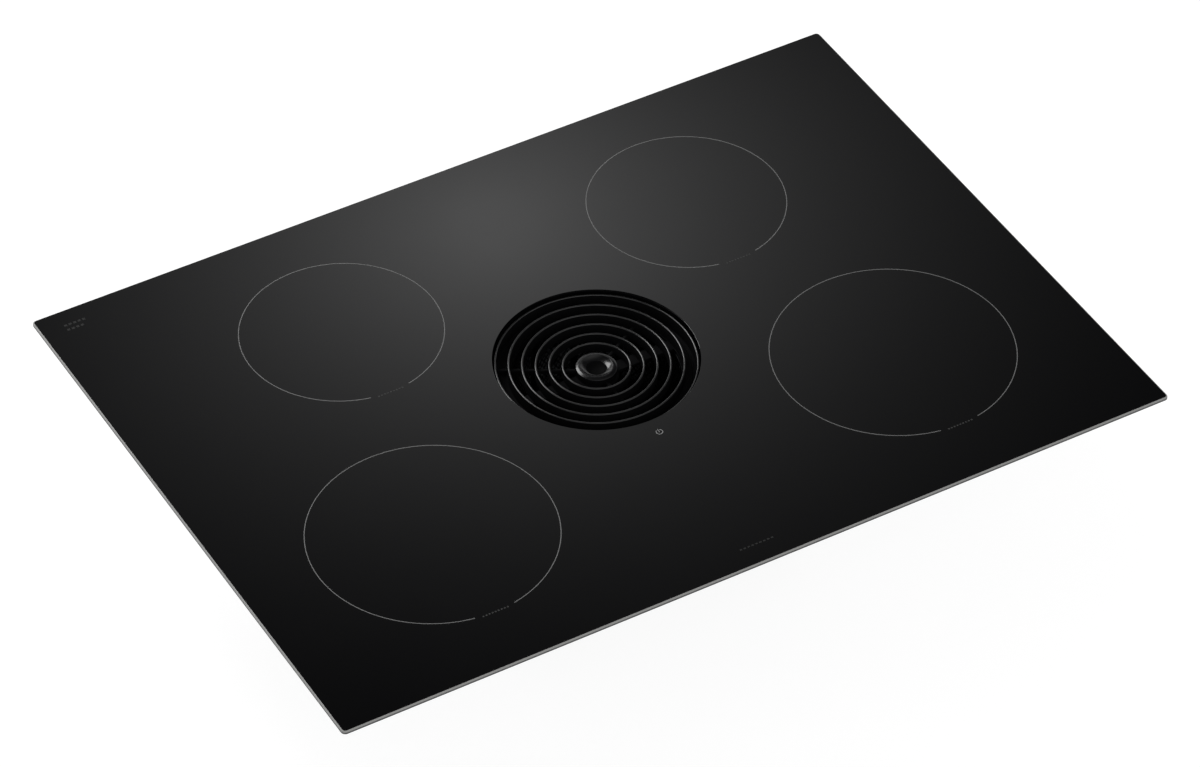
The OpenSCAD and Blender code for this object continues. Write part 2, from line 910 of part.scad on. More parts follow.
// The bar across the basket, with a finger ring in the middle
module filter_handle() {
    bar_w = 12;
    ring_r = 19;
    color(moulded_grey)
        difference() {
            union() {
                intersection() {
                    block([-basket_r, -bar_w / 2, z_rim], [basket_r, bar_w / 2, z_rim + rim_t]);
                    translate([0, 0, z_rim])
                        cylinder(r = basket_r - 4 - rest_gap, h = rim_t);
                }
                translate([0, 0, z_rim])
                    cylinder(r = ring_r, h = rim_t);
            }
            translate([0, 0, z_rim - past])
                cylinder(r = ring_r - 5, h = rim_t + 2 * past);
        }
}

// The tray that catches spilt liquid, with a knob to lift it by
tray_pad_h = 5.5;
tray_draft = 4;
z_tray = box_wall + tray_pad_h + rest_gap;
module drip_tray() {
    wall = 2;
    knob_h = 12;
    color(moulded_grey)
        union() {
            difference() {
                translate([0, 0, z_tray])
                    cylinder(r1 = tray_r - tray_draft, r2 = tray_r, h = tray_h);
                translate([0, 0, z_tray + wall])
                    cylinder(r1 = tray_r - tray_draft - wall, r2 = tray_r - wall, h = tray_h);
            }
            tube(tray_r + 2, tray_r - wall / 2, z_tray + tray_h - 2, 2);
            translate([0, 0, z_tray])
                cylinder(r = 6, h = tray_h + knob_h / 2);
            translate([0, 0, z_tray + tray_h])
                cylinder(r1 = 6, r2 = 11, h = knob_h / 2);
            translate([0, 0, z_tray + tray_h + knob_h / 2])
                cylinder(r = 11, h = 3);
        }
}

// The air box
box_mid = (box_rear - box_front) / 2;
box_d = box_rear + box_front;
box_chamfer = 8;
module airbox_form(inset, z_top) {
    across = wall_points(box_w / 2, box_chamfer, box_chamfer, 0, z_top, inset);
    rear = wall_points(box_rear, box_chamfer, box_chamfer, 0, z_top, inset);
    front = wall_points(box_front, box_slope_run, box_slope_h, 0, z_top, inset);
    intersection() {
        translate([0, box_mid, 0])
            round_plate(box_w - 2 * inset, box_d - 2 * inset, box_corner_r - inset,
                -past, z_top + 2 * past);
        along_x(box_w)
            polygon(concat(rear, flipped(front)));
        translate([0, box_mid, 0])
            along_y(box_d)
                polygon(concat(across, flipped(across)));
    }
}

// The fan's scroll: its radius grows from the tongue, over the top, to the foot, and
// the air leaves along the foot
scroll_wall = 2;
duct_in_h = duct_h - 2 * duct_wall - 2;
z_scroll_foot = box_wall + 7 + scroll_wall;
wheel_r = (z_cover - scroll_top_gap - scroll_wall - z_scroll_foot) / 2
    - scroll_gap - 2 * scroll_growth;
wheel_len = scroll_w - 2 * wheel_end_gap;
fan_z = z_scroll_foot + wheel_r + scroll_gap + 3 * scroll_growth;
fan_y = basket_r + scroll_front_gap + scroll_wall + wheel_r + scroll_gap + 2 * scroll_growth;
duct_z = z_scroll_foot + duct_in_h / 2;
mouth_y = box_rear - box_wall;
// The tongue, where the scroll begins, lies this far above the top of its mouth
tongue_rise = 12.3;
z_mouth_top = z_scroll_foot + duct_in_h;
tongue_turn = asin((z_mouth_top + tongue_rise - fan_z) / (wheel_r + scroll_gap));
scroll_steps = 28;
function scroll_radius(turn) = wheel_r + scroll_gap + scroll_growth * turn / 90;
function scroll_points(wall, mouth) = concat(
    [
        for (i = [0:scroll_steps])
            let (turn = tongue_turn + (270 - tongue_turn) * i / scroll_steps)
            [fan_y + (scroll_radius(turn) + wall) * cos(turn),
                fan_z + (scroll_radius(turn) + wall) * sin(turn)]
    ],
    [
        [mouth, z_scroll_foot - wall],
        [mouth, z_mouth_top + wall],
        [fan_y + scroll_radius(0) + wall, z_mouth_top + wall]
    ]);

rim_w = 10;
rim_h = 5;
module airbox_tub() {
    rib_t = 2;
    rib_d = 2.5;
    color(moulded_grey)
        difference() {
            union() {
                difference() {
                    union() {
                        airbox_form(0, z_cover);
                        translate([0, box_mid, z_cover - rim_h])
                            linear_extrude(rim_h)
                                round_rect(box_w + 2 * rim_w, box_d - 4, box_corner_r);
                        for (side = [-1, 1], i = [0:6])
                            translate([side * (box_w / 2 + rib_d / 2 - 0.5),
                                    -box_front + 46 + i * 42, box_chamfer + 6])
                                translate([-rib_d / 2 - 0.5, -rib_t / 2, 0])
                                    cube([rib_d + 1, rib_t, z_cover - box_chamfer - 6]);
                        for (i = [-3:3])
                            block([i * 36 - rib_t / 2, -box_front - rib_d, box_slope_h + 6],
                                [i * 36 + rib_t / 2, -box_front + 1, z_cover - rim_h]);
                    }
                    airbox_form(box_wall, z_cover + past);
                }
                tube(tray_r - tray_draft + 4, tray_r - tray_draft + 2, box_wall - 0.5,
                    tray_pad_h + 6.5);
                for (i = [0:2])
                    rotate(90 + i * 120)
                        block([tray_r - 28, -6, box_wall - 0.5],
                            [tray_r - 12, 6, box_wall + tray_pad_h]);
            }
            block([-duct_w / 2 + duct_wall, box_rear - 2 * box_wall, duct_z - duct_h / 2 + duct_wall],
                [duct_w / 2 - duct_wall, box_rear + past, duct_z + duct_h / 2 - duct_wall]);
            for (spot = box_screw_spots)
                translate([spot[0], spot[1], z_cover - rim_h])
                    screw_hole(rim_h);
            for (spot = collar_spots)
                translate([spot[0], box_rear - box_wall, spot[1]])
                    rotate([-90, 0, 0])
                        screw_hole(box_wall);
        }
}

module airbox_cover() {
    color(moulded_grey)
        difference() {
            translate([0, box_mid, z_cover])
                linear_extrude(cover_t)
                    round_rect(box_w + 2 * rim_w, box_d - 4, box_corner_r);
            translate([0, 0, z_cover - past])
                cylinder(r = well_out_r + 0.4, h = cover_t + 2 * past);
            for (spot = box_screw_spots)
                translate([spot[0], spot[1], z_cover])
                    screw_hole(cover_t);
        }
}

module scroll_wrap() {
    color(moulded_grey)
        difference() {
            along_x(scroll_w)
                polygon(scroll_points(scroll_wall, mouth_y));
            along_x(scroll_w + 2 * past)
                polygon(scroll_points(0, mouth_y + past));
        }
}

// A side of the scroll, with a flared inlet that reaches in to the wheel
inlet_r = wheel_r - 7;
module scroll_side() {
    x = scroll_w / 2;
    reach = x - wheel_len / 2 - 3;
    flare = 6;
    color(moulded_grey)
        union() {
            difference() {
                translate([x + scroll_wall / 2, 0, 0])
                    along_x(scroll_wall)
                        polygon(scroll_points(scroll_wall, mouth_y));
                translate([x - past, fan_y, fan_z])
                    rotate([0, 90, 0])
                        cylinder(r = inlet_r, h = scroll_wall + 2 * past);
            }
            translate([x, fan_y, fan_z])
                rotate([0, 90, 0])
                    rotate_extrude()
                        polygon([
                            [inlet_r - 1.5, -reach],
                            [inlet_r + 0.5, -reach],
                            [inlet_r + 0.5, scroll_wall],
                            [inlet_r + flare, scroll_wall + 2],
                            [inlet_r + flare, scroll_wall + 3.5],
                            [inlet_r - 1.5, scroll_wall + 1]
                        ]);
        }
}

// The double wheel: curved blades between two end rings, with a disc in the middle
blade_root_r = wheel_r - 9;
motor_r = blade_root_r - motor_gap;
module blower_wheel() {
    ring_len = 3;
    disc_t = 3;
    color(cast_black)
        translate([0, fan_y, fan_z])
            rotate([0, 90, 0])
                difference() {
                    union() {
                        for (side = [-1, 1])
                            tube(wheel_r, blade_root_r, side * (wheel_len - ring_len) / 2
                                - ring_len / 2, ring_len);
                        translate([0, 0, -disc_t / 2])
                            cylinder(r = wheel_r, h = disc_t);
                        translate([0, 0, -10])
                            cylinder(r = 9, h = 16);
                        for (i = [0:blade_count - 1])
                            rotate(i * 360 / blade_count)
                                translate([0, 0, -wheel_len / 2])
                                    linear_extrude(wheel_len)
                                        blade_outline();
                    }
                    translate([0, 0, -20])
                        cylinder(r = shaft_r + 0.02, h = 40);
                }
}
// A forward-curved blade, 1 mm thick, from the root to just inside the rim
module blade_outline() {
    steps = 4;
    hook = 14;
    r0 = blade_root_r + 0.5;
    r1 = wheel_r - 0.5;
    line = [
        for (i = [0:steps])
            let (s = i / steps, r = r0 + (r1 - r0) * s, a = hook * s * s)
            [r * cos(a), r * sin(a)]
    ];
    back = [for (i = [steps:-1:0]) [line[i][0] - 0.3, line[i][1] + 1]];
    polygon(concat(line, back));
}

motor_x = 10;
shaft_end = 14;
shaft_in_motor = 30;
module blower_shaft() {
    color(steel)
        translate([-shaft_end, fan_y, fan_z])
            rotate([0, 90, 0])
                cylinder(r = shaft_r, h = shaft_end + motor_x + shaft_in_motor);
}
module blower_motor() {
    ribs = 12;
    color(zinc)
        translate([motor_x, fan_y, fan_z])
            rotate([0, 90, 0])
                difference() {
                    union() {
                        cylinder(r = motor_r - 2, h = motor_len);
                        translate([0, 0, 6])
                            cylinder(r = motor_r - 0.5, h = motor_len - 16);
                        for (i = [0:ribs - 1])
                            rotate(i * 360 / ribs)
                                translate([motor_r - 3, -1, 8])
                                    cube([3, 2, motor_len - 20]);
                    }
                    translate([0, 0, -past])
                        cylinder(r = shaft_r + run_gap, h = shaft_in_motor + 4 + past);
                }
}
// Three legs that hang the motor from the right side of the scroll
module motor_bracket() {
    x0 = motor_x + motor_len;
    x1 = scroll_w / 2 + scroll_wall;
    leg_r = motor_r - 6;
    leg_w = 9;
    leg_t = 3;
    foot_r = inlet_r + 16;
    color(zinc)
        translate([0, fan_y, fan_z])
            rotate([0, 90, 0])
                union() {
                    translate([0, 0, x0])
                        cylinder(r = leg_r + leg_t, h = 2.5);
                    for (turn = [0, 120, 240])
                        rotate(turn) {
                            translate([leg_r, -leg_w / 2, x0])
                                cube([leg_t, leg_w, x1 - x0 + 6]);
                            translate([leg_r, -leg_w / 2, x1 + 3.5])
                                cube([foot_r - leg_r, leg_w, 2.5]);
                            translate([foot_r - 7, -leg_w / 2, x1])
                                cube([7, leg_w, 6]);
                        }
                }
}

// The duct spigot and its flap
collar_plate_t = 2.5;
collar_spots = [for (x = [-1, 1], z = [-1, 1]) [x * (duct_w / 2 + 5), duct_z + z * duct_h / 2 * 0.7]];
flap_y = box_rear + 7;
flap_t = 1.6;
flap_pin_r = 1.5;
flap_barrel_r = 2.2;
flap_z = duct_z + duct_h / 2 - duct_wall - flap_barrel_r - 0.8;
module outlet_collar() {
    w = duct_w - 2 * duct_wall;
    h = duct_h - 2 * duct_wall;
    lip = 3;
    y0 = box_rear;
    color(moulded_grey)
        difference() {
            union() {
                translate([0, y0 + collar_plate_t / 2, duct_z])
                    rotate([90, 0, 0])
                        linear_extrude(collar_plate_t, center = true)
                            round_rect(duct_w + 20, duct_h + 10, 5);
                block([-duct_w / 2, y0, duct_z - duct_h / 2],
                    [duct_w / 2, y0 + duct_len, duct_z + duct_h / 2]);
            }
            block([-w / 2, flap_y - flap_barrel_r - loose, duct_z - h / 2],
                [w / 2, y0 + duct_len + past, duct_z + h / 2]);
            block([-w / 2 + lip, y0 - past, duct_z - h / 2 + lip],
                [w / 2 - lip, y0 + duct_len, duct_z + h / 2 - lip]);
            translate([-duct_w / 2 - past, flap_y, flap_z])
                rotate([0, 90, 0])
                    cylinder(r = flap_pin_r + run_gap, h = duct_w + 2 * past);
            for (spot = collar_spots)
                translate([spot[0], y0, spot[1]])
                    rotate([-90, 0, 0])
                        screw_hole(collar_plate_t);
        }
}

module damper_flap() {
    half = duct_w / 2 - duct_wall - 1;
    z_low = duct_z - duct_h / 2 + duct_wall + 1;
    flap_front = flap_y - flap_barrel_r;
    color(cast_black)
        union() {
            block([-half, flap_front, z_low], [half, flap_front + flap_t, flap_z]);
            translate([-half, flap_y, flap_z])
                rotate([0, 90, 0])
                    cylinder(r = flap_barrel_r, h = 2 * half);
            translate([-duct_w / 2, flap_y, flap_z])
                rotate([0, 90, 0])
                    cylinder(r = flap_pin_r, h = duct_w);
            for (x = [-2:2])
                block([x * 42 - 0.8, flap_front + 1, z_low + 6],
                    [x * 42 + 0.8, flap_front + 4, flap_z - 6]);
        }
}

// The supply cable's entry, under the pan
entry_x = 255;
entry_w = 80;
entry_front = 152;
entry_rear = 220;
entry_wall = 1.8;
gland_neck_r = gland_r + 1.5;
gland_flange_r = gland_neck_r + 1.6;
entry_h = 2 * (gland_flange_r + entry_wall + 0.6);
gland_z = z_pan - entry_h / 2;
module terminal_cover() {
    color(cast_black)
        difference() {
            translate([entry_x, (entry_front + entry_rear) / 2, z_pan - entry_h])
                linear_extrude(entry_h)
                    round_rect(entry_w, entry_rear - entry_front, 5);
            block([entry_x - entry_w / 2 + entry_wall, entry_front + entry_wall,
                    z_pan - entry_h + entry_wall],
                [entry_x + entry_w / 2 - entry_wall, entry_rear - entry_wall, z_pan + past]);
            translate([entry_x, entry_rear - 2 * entry_wall, gland_z])
                rotate([-90, 0, 0])
                    cylinder(r = gland_neck_r + 0.1, h = 4 * entry_wall);
        }
}
module terminal_block() {
    ways = 5;
    pitch = 11;
    color([0.75, 0.74, 0.7])
        difference() {
            block([entry_x - ways * pitch / 2, entry_front + 12, z_pan - 15],
                [entry_x + ways * pitch / 2, entry_front + 32, z_pan]);
            for (i = [0:ways - 1])
                translate([entry_x + (i - (ways - 1) / 2) * pitch, entry_front + 22,
                        z_pan - 15 - past])
                    cylinder(r = 3, h = 6);
        }
}
module cable_gland() {
    color(gloss_black)
        translate([entry_x, entry_rear, gland_z])
            rotate([-90, 0, 0])
                difference() {
                    union() {
                        translate([0, 0, -gland_len / 2])
                            cylinder(r = gland_neck_r, h = gland_len);
                        cylinder(r = gland_neck_r + 1.8, h = 4, $fn = 6);
                        translate([0, 0, -entry_wall - 3])
                            cylinder(r = gland_flange_r, h = 3);
                    }
                    translate([0, 0, -gland_len / 2 - past])
                        cylinder(r = gland_r, h = gland_len + 2 * past);
                }
}

// The closed box with the fan's speed control, under the pan
module blower_control_box() {
    w = 84;
    d = 74;
    h = 24;
    x = -248;
    y = 186;
    color(moulded_grey)
        union() {
            translate([x, y, z_pan - h])
                linear_extrude(h)
                    round_rect(w, d, 5);
            translate([x, y, z_pan - 7])
                linear_extrude(3)
                    round_rect(w + 5, d + 5, 6);
            block([x + w / 2 - 1, y - 16, z_pan - 18], [x + w / 2 + 7, y + 16, z_pan - 9]);
        }
}

// Leaf springs that hold the pan in the worktop's cut-out
clip_spots = [-170, 170];
clip_screw_z = z_glass - 8;
module side_spring_clips() {
    t = 0.8;
    bulge = 6;
    x0 = pan_w / 2;
    z0 = z_glass - 3;
    outer = [[x0 + t, z0], [x0 + t, z0 - 10], [x0 + bulge, z0 - 16], [x0 + bulge, z0 - 20],
        [x0 + 3, z0 - 28]];
    inner = [for (i = [4:-1:0]) [outer[i][0] - t, outer[i][1]]];
    color(steel)
        for (side = [0, 1])
            mirror([side, 0, 0])
                for (y = clip_spots)
                    difference() {
                        translate([0, y, 0])
                            along_y(24)
                                polygon(concat(outer, inner));
                        translate([x0 - 2, y, clip_screw_z])
                            rotate([0, 90, 0])
                                cylinder(r = screw_r + 0.2, h = 6);
                    }
}

module airbox_screws() {
    color(steel)
        for (spot = box_screw_spots)
            translate([spot[0], spot[1], z_cover - rim_h])
                screw(rim_h + cover_t + pan_sheet + box_screw_past);
}
module collar_screws() {
    color(steel)
        for (spot = collar_spots)
            translate([spot[0], box_rear + collar_plate_t, spot[1]])
                rotate([90, 0, 0])
                    screw(collar_plate_t + box_wall + 2);
}
module clip_screws() {
    color(steel)
        for (side = [0, 1])
            mirror([side, 0, 0])
                for (y = clip_spots)
                    translate([pan_w / 2 + 0.8, y, clip_screw_z])
                        rotate([0, -90, 0])
                            screw(5);
}

glass_top();
edge_seal();
burner_pan();
coil_shield_plate();
shield_standoffs();
coil_carrier(zones[0]);  // coil_carrier_front_left
coil_carrier(zones[1]);  // coil_carrier_front_right
coil_carrier(zones[2]);  // coil_carrier_rear_left
coil_carrier(zones[3]);  // coil_carrier_rear_right
coil_winding(zones[0]);  // coil_winding_front_left
coil_winding(zones[1]);  // coil_winding_front_right
coil_winding(zones[2]);  // coil_winding_rear_left
coil_winding(zones[3]);  // coil_winding_rear_right
mica_discs();
ferrite_bars();
temperature_sensors();
coil_leaf_springs();
touch_panel_tray();
touch_panel_board();
touch_springs();
power_key_module();
mirror([1, 0, 0]) power_board();  // power_board_left
power_board();  // power_board_right
mirror([1, 0, 0]) heat_sink();  // heat_sink_left
heat_sink();  // heat_sink_right
mirror([1, 0, 0]) board_components();  // board_components_left
board_components();  // board_components_right
board_standoffs();
mirror([1, 0, 0]) cooling_fan_case();  // cooling_fan_case_left
cooling_fan_case();  // cooling_fan_case_right
mirror([1, 0, 0]) cooling_fan_wheel();  // cooling_fan_wheel_left
cooling_fan_wheel();  // cooling_fan_wheel_right
well_gasket();
vent_well();
grille_rings();
grille_hub();
filter_rim();
filter_cup();
filter_mesh();
filter_handle();
drip_tray();
airbox_cover();
airbox_tub();
scroll_wrap();
mirror([1, 0, 0]) scroll_side();  // scroll_side_left
scroll_side();  // scroll_side_right
blower_wheel();
blower_shaft();
blower_motor();
motor_bracket();
outlet_collar();
damper_flap();
terminal_cover();
terminal_block();
cable_gland();
blower_control_box();
side_spring_clips();
airbox_screws();
collar_screws();
clip_screws();
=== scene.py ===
# %% [markdown]
# # A downdraft induction cooktop
#
# This notebook dresses a finished CAD model of a built-in cooktop: a black glass
# ceramic plate with four induction zones, and a round air intake with a grille in its
# middle. Under the plate hang a sheet steel pan with the coils and electronics, and an
# air box with the extractor fan. The CAD solids are loaded as a fixed frame. What shows
# most, such as the glass, the print on it and the grille, is modelled again here with
# finer edges, and everything gets a material made of nodes.

# %% Load the CAD model
import json
import math

import bmesh
import bpy
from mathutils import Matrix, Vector


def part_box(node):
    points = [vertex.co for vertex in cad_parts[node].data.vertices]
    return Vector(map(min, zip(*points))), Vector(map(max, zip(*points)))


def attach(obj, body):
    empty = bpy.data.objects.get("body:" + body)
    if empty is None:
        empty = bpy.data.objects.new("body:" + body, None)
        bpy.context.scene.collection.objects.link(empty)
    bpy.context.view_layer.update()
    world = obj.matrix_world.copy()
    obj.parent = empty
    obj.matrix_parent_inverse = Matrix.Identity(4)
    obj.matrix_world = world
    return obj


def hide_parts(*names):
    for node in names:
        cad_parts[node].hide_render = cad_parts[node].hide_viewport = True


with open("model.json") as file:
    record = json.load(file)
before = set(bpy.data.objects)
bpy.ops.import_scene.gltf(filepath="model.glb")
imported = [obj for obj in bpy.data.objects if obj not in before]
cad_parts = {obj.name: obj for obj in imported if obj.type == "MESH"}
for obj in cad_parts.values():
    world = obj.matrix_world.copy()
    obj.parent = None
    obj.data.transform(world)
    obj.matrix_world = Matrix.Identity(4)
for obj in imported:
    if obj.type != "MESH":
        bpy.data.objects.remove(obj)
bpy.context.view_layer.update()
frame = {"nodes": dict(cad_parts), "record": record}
nodes = frame["nodes"]

# %% [markdown]
# ## Places that everything else is measured from
#
# Lengths in Blender are metres, so a millimetre gets a short name. The plate's levels and
# widths could be typed in, but they are read from its CAD node. If the model is rebuilt
# with other sizes, the pieces made here follow it.

# %% Shared measures
MM = 0.001

glass_low, glass_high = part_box("glass_top")
glass_half_w = glass_high.x
glass_half_d = glass_high.y
glass_under = glass_low.z
glass_face = glass_high.z
print("glass from", round(glass_under, 4), "to", round(glass_face, 4))

# %% [markdown]
# ## The camera
#
# The photograph was taken from the front left with a long lens, almost five metres away.
# A long lens keeps the far edge of the plate almost as long as the near one. The place
# and the lens could be found by trial, but the four corners of the glass fix them.

# %% Camera
LENS_MM = 170.61
CAMERA_PLACE = (-1.7877, -3.0586, 3.4236)
CAMERA_TURN_DEGREES = (47.539, -0.233, -30.141)

camera_data = bpy.data.cameras.new("studio_camera")
camera_data.sensor_width = 36
camera_data.lens = LENS_MM
camera_data.clip_end = 200
camera = bpy.data.objects.new("studio_camera", camera_data)
bpy.context.scene.collection.objects.link(camera)
camera.location = CAMERA_PLACE
camera.rotation_euler = [math.radians(turn) for turn in CAMERA_TURN_DEGREES]
bpy.context.scene.camera = camera
bpy.context.scene.view_settings.view_transform = "Standard"
print("camera", round((camera.location - Vector((0, 0, glass_face))).length, 3), "m away")

# %% [markdown]
# ## Colours and nodes
#
# Colours are easier to judge as the hex values of a paint program, which are sRGB, but
# shaders count in linear light. One function does the change. Another adds a shader
# node of any kind: it takes the node's settings by name and its inputs either as plain
# values or as the output socket of another node, which it links.

# %% Helpers for colours and nodes


def linear(hex_colour):
    """A colour such as "#8a8a8a" as linear RGBA, by the curve of the sRGB standard."""
    parts = [int(hex_colour[i:i + 2], 16) / 255 for i in (1, 3, 5)]
    lit = [p / 12.92 if p <= 0.04045 else ((p + 0.055) / 1.055) ** 2.4 for p in parts]
    return (*lit, 1.0)


def add_node(tree, kind, inputs=None, stops=(), **settings):
    """Adds a node, sets it up, fills or links its inputs and colours its ramp."""
    node = tree.nodes.new(kind)
    for key, value in settings.items():
        setattr(node, key, value)
    for key, value in (inputs or {}).items():
        if isinstance(value, bpy.types.NodeSocket):
            tree.links.new(value, node.inputs[key])
        else:
            node.inputs[key].default_value = value
    for i, (position, hex_colour) in enumerate(stops):
        node.color_ramp.elements[i].position = position
        node.color_ramp.elements[i].color = linear(hex_colour)
    return node


def per_metre(size_mm):
    """The scale at which a pattern repeats every size_mm."""
    return 1000 / size_mm


print("white is", linear("#ffffff"), "and middle grey", round(linear("#808080")[0], 3))

# %% [markdown]
# ## The plan of a finish
#
# Each finish here follows one plan. A pattern fades between two close colours and
# between two values of roughness, and a relief, which may be the same pattern, drives
# the bump. What doesn't vary is set on the shader itself. The pattern reads Object
# coordinates, so it stays fixed to the piece. The plan could be repeated in every
# material, but written once it leaves each finish only its own pattern and numbers.

# %% Helpers for finishes
PATTERN_LOW, PATTERN_HIGH = 0.25, 0.75  # noise seldom goes below or above these


def new_material(name):
    """An empty material, its node tree and its Object coordinates."""
    made = bpy.data.materials.new(name)
    made.use_nodes = True
    made.node_tree.nodes.clear()
    place = add_node(made.node_tree, "ShaderNodeTexCoord").outputs["Object"]
    return made, made.node_tree, place


def shaded(made, pattern, colour, rough, relief=None, depth_mm=0.0, fade=(0.3, 0.7),
           inputs=None):
    """Ends a material. Its colour and its roughness may each be a pair to fade between."""
    tree = made.node_tree
    values = dict(inputs or {})
    if isinstance(colour, tuple):
        values["Base Color"] = add_node(tree, "ShaderNodeValToRGB", {
            "Fac": pattern}, stops=zip(fade, colour)).outputs["Color"]
    else:
        values["Base Color"] = linear(colour)
    if isinstance(rough, tuple):
        values["Roughness"] = add_node(tree, "ShaderNodeMapRange", {
            "Value": pattern, "From Min": PATTERN_LOW, "From Max": PATTERN_HIGH,
            "To Min": rough[0], "To Max": rough[1]}).outputs["Result"]
    else:
        values["Roughness"] = rough
    if relief:
        values["Normal"] = add_node(tree, "ShaderNodeBump", {
            "Height": relief, "Distance": depth_mm * MM}).outputs["Normal"]
    shader = add_node(tree, "ShaderNodeBsdfPrincipled", values)
    add_node(tree, "ShaderNodeOutputMaterial", {"Surface": shader.outputs["BSDF"]})
    return made


print("roughness follows the pattern from", PATTERN_LOW, "to", PATTERN_HIGH)

# %% [markdown]
# ## Glass ceramic
#
# The plate is black glass ceramic, rolled and polished. It is a mirror for whatever
# stands behind it, and almost nothing comes back from inside, so the colour is close to
# black and the gloss does the work. A polished face still has a film of fine wiping
# marks, which shows as a slow change of roughness and not as colour. The edges are
# ground, not polished. A ground edge scatters light, which is why it looks grey. The
# bevel gets a much lighter grey than the upright part below, as painted light where it
# faces up to the lamps. The upright part gets a darker grey, as painted shade. The grit
# is far finer than a pixel, so it is drawn coarser, at about a millimetre.

# %% Glass materials
GLASS_IOR = 1.53


def glass_ceramic():
    made, tree, place = new_material("black_glass_ceramic_polished")
    wiping = add_node(tree, "ShaderNodeTexNoise", {
        "Vector": place, "Scale": per_metre(60), "Detail": 4}).outputs["Fac"]
    return shaded(made, wiping, "#060607", (0.05, 0.08), inputs={"IOR": GLASS_IOR})


def ground_edge(name, dark, light):
    made, tree, place = new_material(name)
    grinding = add_node(tree, "ShaderNodeTexNoise", {
        "Vector": place, "Scale": per_metre(1.2), "Detail": 2}).outputs["Fac"]
    return shaded(made, grinding, (dark, light), 0.5, grinding, 0.02,
                  inputs={"IOR": GLASS_IOR})


glass_material = glass_ceramic()
# painted light and shade: the same ground glass is a light grey on the bevel and a dark
# grey on the upright edge below it
painted_light_bevel_material = ground_edge("glass_bevel_ground_painted_light", "#969695", "#a0a09e")
painted_shade_edge_material = ground_edge("glass_edge_ground_painted_shade", "#484848", "#525252")
print("glass:", glass_material.name, painted_light_bevel_material.name, painted_shade_edge_material.name)

# %% [markdown]
# ## Print
#
# The zone rings are ceramic print, a glass paste pushed through a screen and fired into
# the plate. It is a matte grey, slightly uneven from the mesh of the screen, which is
# drawn coarser than it is. Most small marks are printed thinner, so they are darker and
# hardly shine. An image could draw all this, but real faces stay sharp at any distance.

# %% Print materials


def fired_print(name, dark, light, shine=0.5):
    made, tree, place = new_material(name)
    screen = add_node(tree, "ShaderNodeTexNoise", {
        "Vector": place, "Scale": per_metre(0.6), "Detail": 1}).outputs["Fac"]
    return shaded(made, screen, (dark, light), 0.6, inputs={"Specular IOR Level": shine})


print_material = fired_print("fired_ceramic_print", "#646464", "#6c6c6c")
bright_print_material = fired_print("fired_ceramic_print_bright", "#969696", "#a0a0a0")
faint_print_material = fired_print("fired_ceramic_print_faint", "#383838", "#404040", 0.1)
dim_print_material = fired_print("fired_ceramic_print_dim", "#282828", "#303030", 0.1)
print("prints:", print_material.name, "and a bright, a faint and a dim one")

# %% [markdown]
# ## Moulded plastics
#
# The plastics are injection moulded. Their mould has a spark-eroded grain of a few tenths
# of a millimetre, which breaks up the shine. Such grain is far finer than a pixel here,
# so it is drawn coarser than it is, at about a millimetre. Slow clouds, as wide as the
# flow of the melt, keep a large face from looking like one flat colour. Pressed and
# foamed stuffs follow the same plan with a coarser grain.

# %% Plastics
PLASTIC_IOR = 1.5
FLOW_MM = 35


def moulded(name, dark, light, gloss, grain_mm=1.0, depth_mm=0.03, shine=0.5):
    """Injection moulded plastic: an even colour, a fine grain and a soft shine."""
    made, tree, place = new_material(name)
    clouds = add_node(tree, "ShaderNodeTexNoise", {
        "Vector": place, "Scale": per_metre(FLOW_MM), "Detail": 2}).outputs["Fac"]
    grain = add_node(tree, "ShaderNodeTexNoise", {
        "Vector": place, "Scale": per_metre(grain_mm), "Detail": 1}).outputs["Fac"]
    return shaded(made, clouds, (dark, light), (gloss - 0.04, gloss + 0.04), grain,
                  depth_mm, inputs={"IOR": PLASTIC_IOR, "Specular IOR Level": shine})


plastic_materials = {
    # glass fibres near the surface dull the grey nylon
    "grey_plastic": moulded("glass_filled_nylon_grey", "#5c5e60", "#626466", 0.5),
    # near black and with almost no shine: painted shade for the parts that lie in the shade
    # inside the intake
    "dark_plastic": moulded("abs_anthracite_painted_shade", "#0b0b0c", "#0f0f10", 0.7, shine=0.04),
    # the same painted shade, near black and shineless, for the black mouldings of the
    # intake and the hub's pocket
    "black_plastic": moulded("glass_filled_nylon_black_painted_shade", "#080808", "#0b0b0c", 0.7,
                             shine=0.04),
    # waxy, with a broad soft shine
    "airbox_plastic": moulded("polypropylene_charcoal", "#3e4043", "#45474a", 0.48),
    # the natural cream colour of the undyed plastic
    "ivory_plastic": moulded("polyamide_ivory", "#c8c2b2", "#d0cabb", 0.4),
    # cast resin, smooth enough for clear highlights
    "component_black": moulded("epoxy_black", "#1c1c1f", "#242427", 0.35),
    # polished mould: hardly any grain and a satin highlight
    "gloss_black": moulded("abs_black_polished", "#0c0c0d", "#101011", 0.23, 2.0, 0.002),
    # open pores at its cut faces, and no shine
    "foam": moulded("closed_cell_foam", "#2c2c2e", "#38383a", 0.9, 1.5, 0.25),
    # rubbery and dull
    "silicone": moulded("silicone_brick_red", "#8c3b2c", "#984434", 0.55),
    # pressed flakes, which make it blotchy and a little rough
    "mica": moulded("pressed_mica", "#c2b08a", "#d2c29e", 0.5, 3.0, 0.05),
    # fired powder, sandy to the eye
    "ferrite": moulded("sintered_ferrite", "#3a3a3d", "#444447", 0.6, 0.8, 0.05),
    # lacquer over the weave of the board
    "circuit_board": moulded("solder_mask_green", "#175c34", "#1f6b3f", 0.3, 2.5, 0.04),
}
print("plastics:", len(plastic_materials))

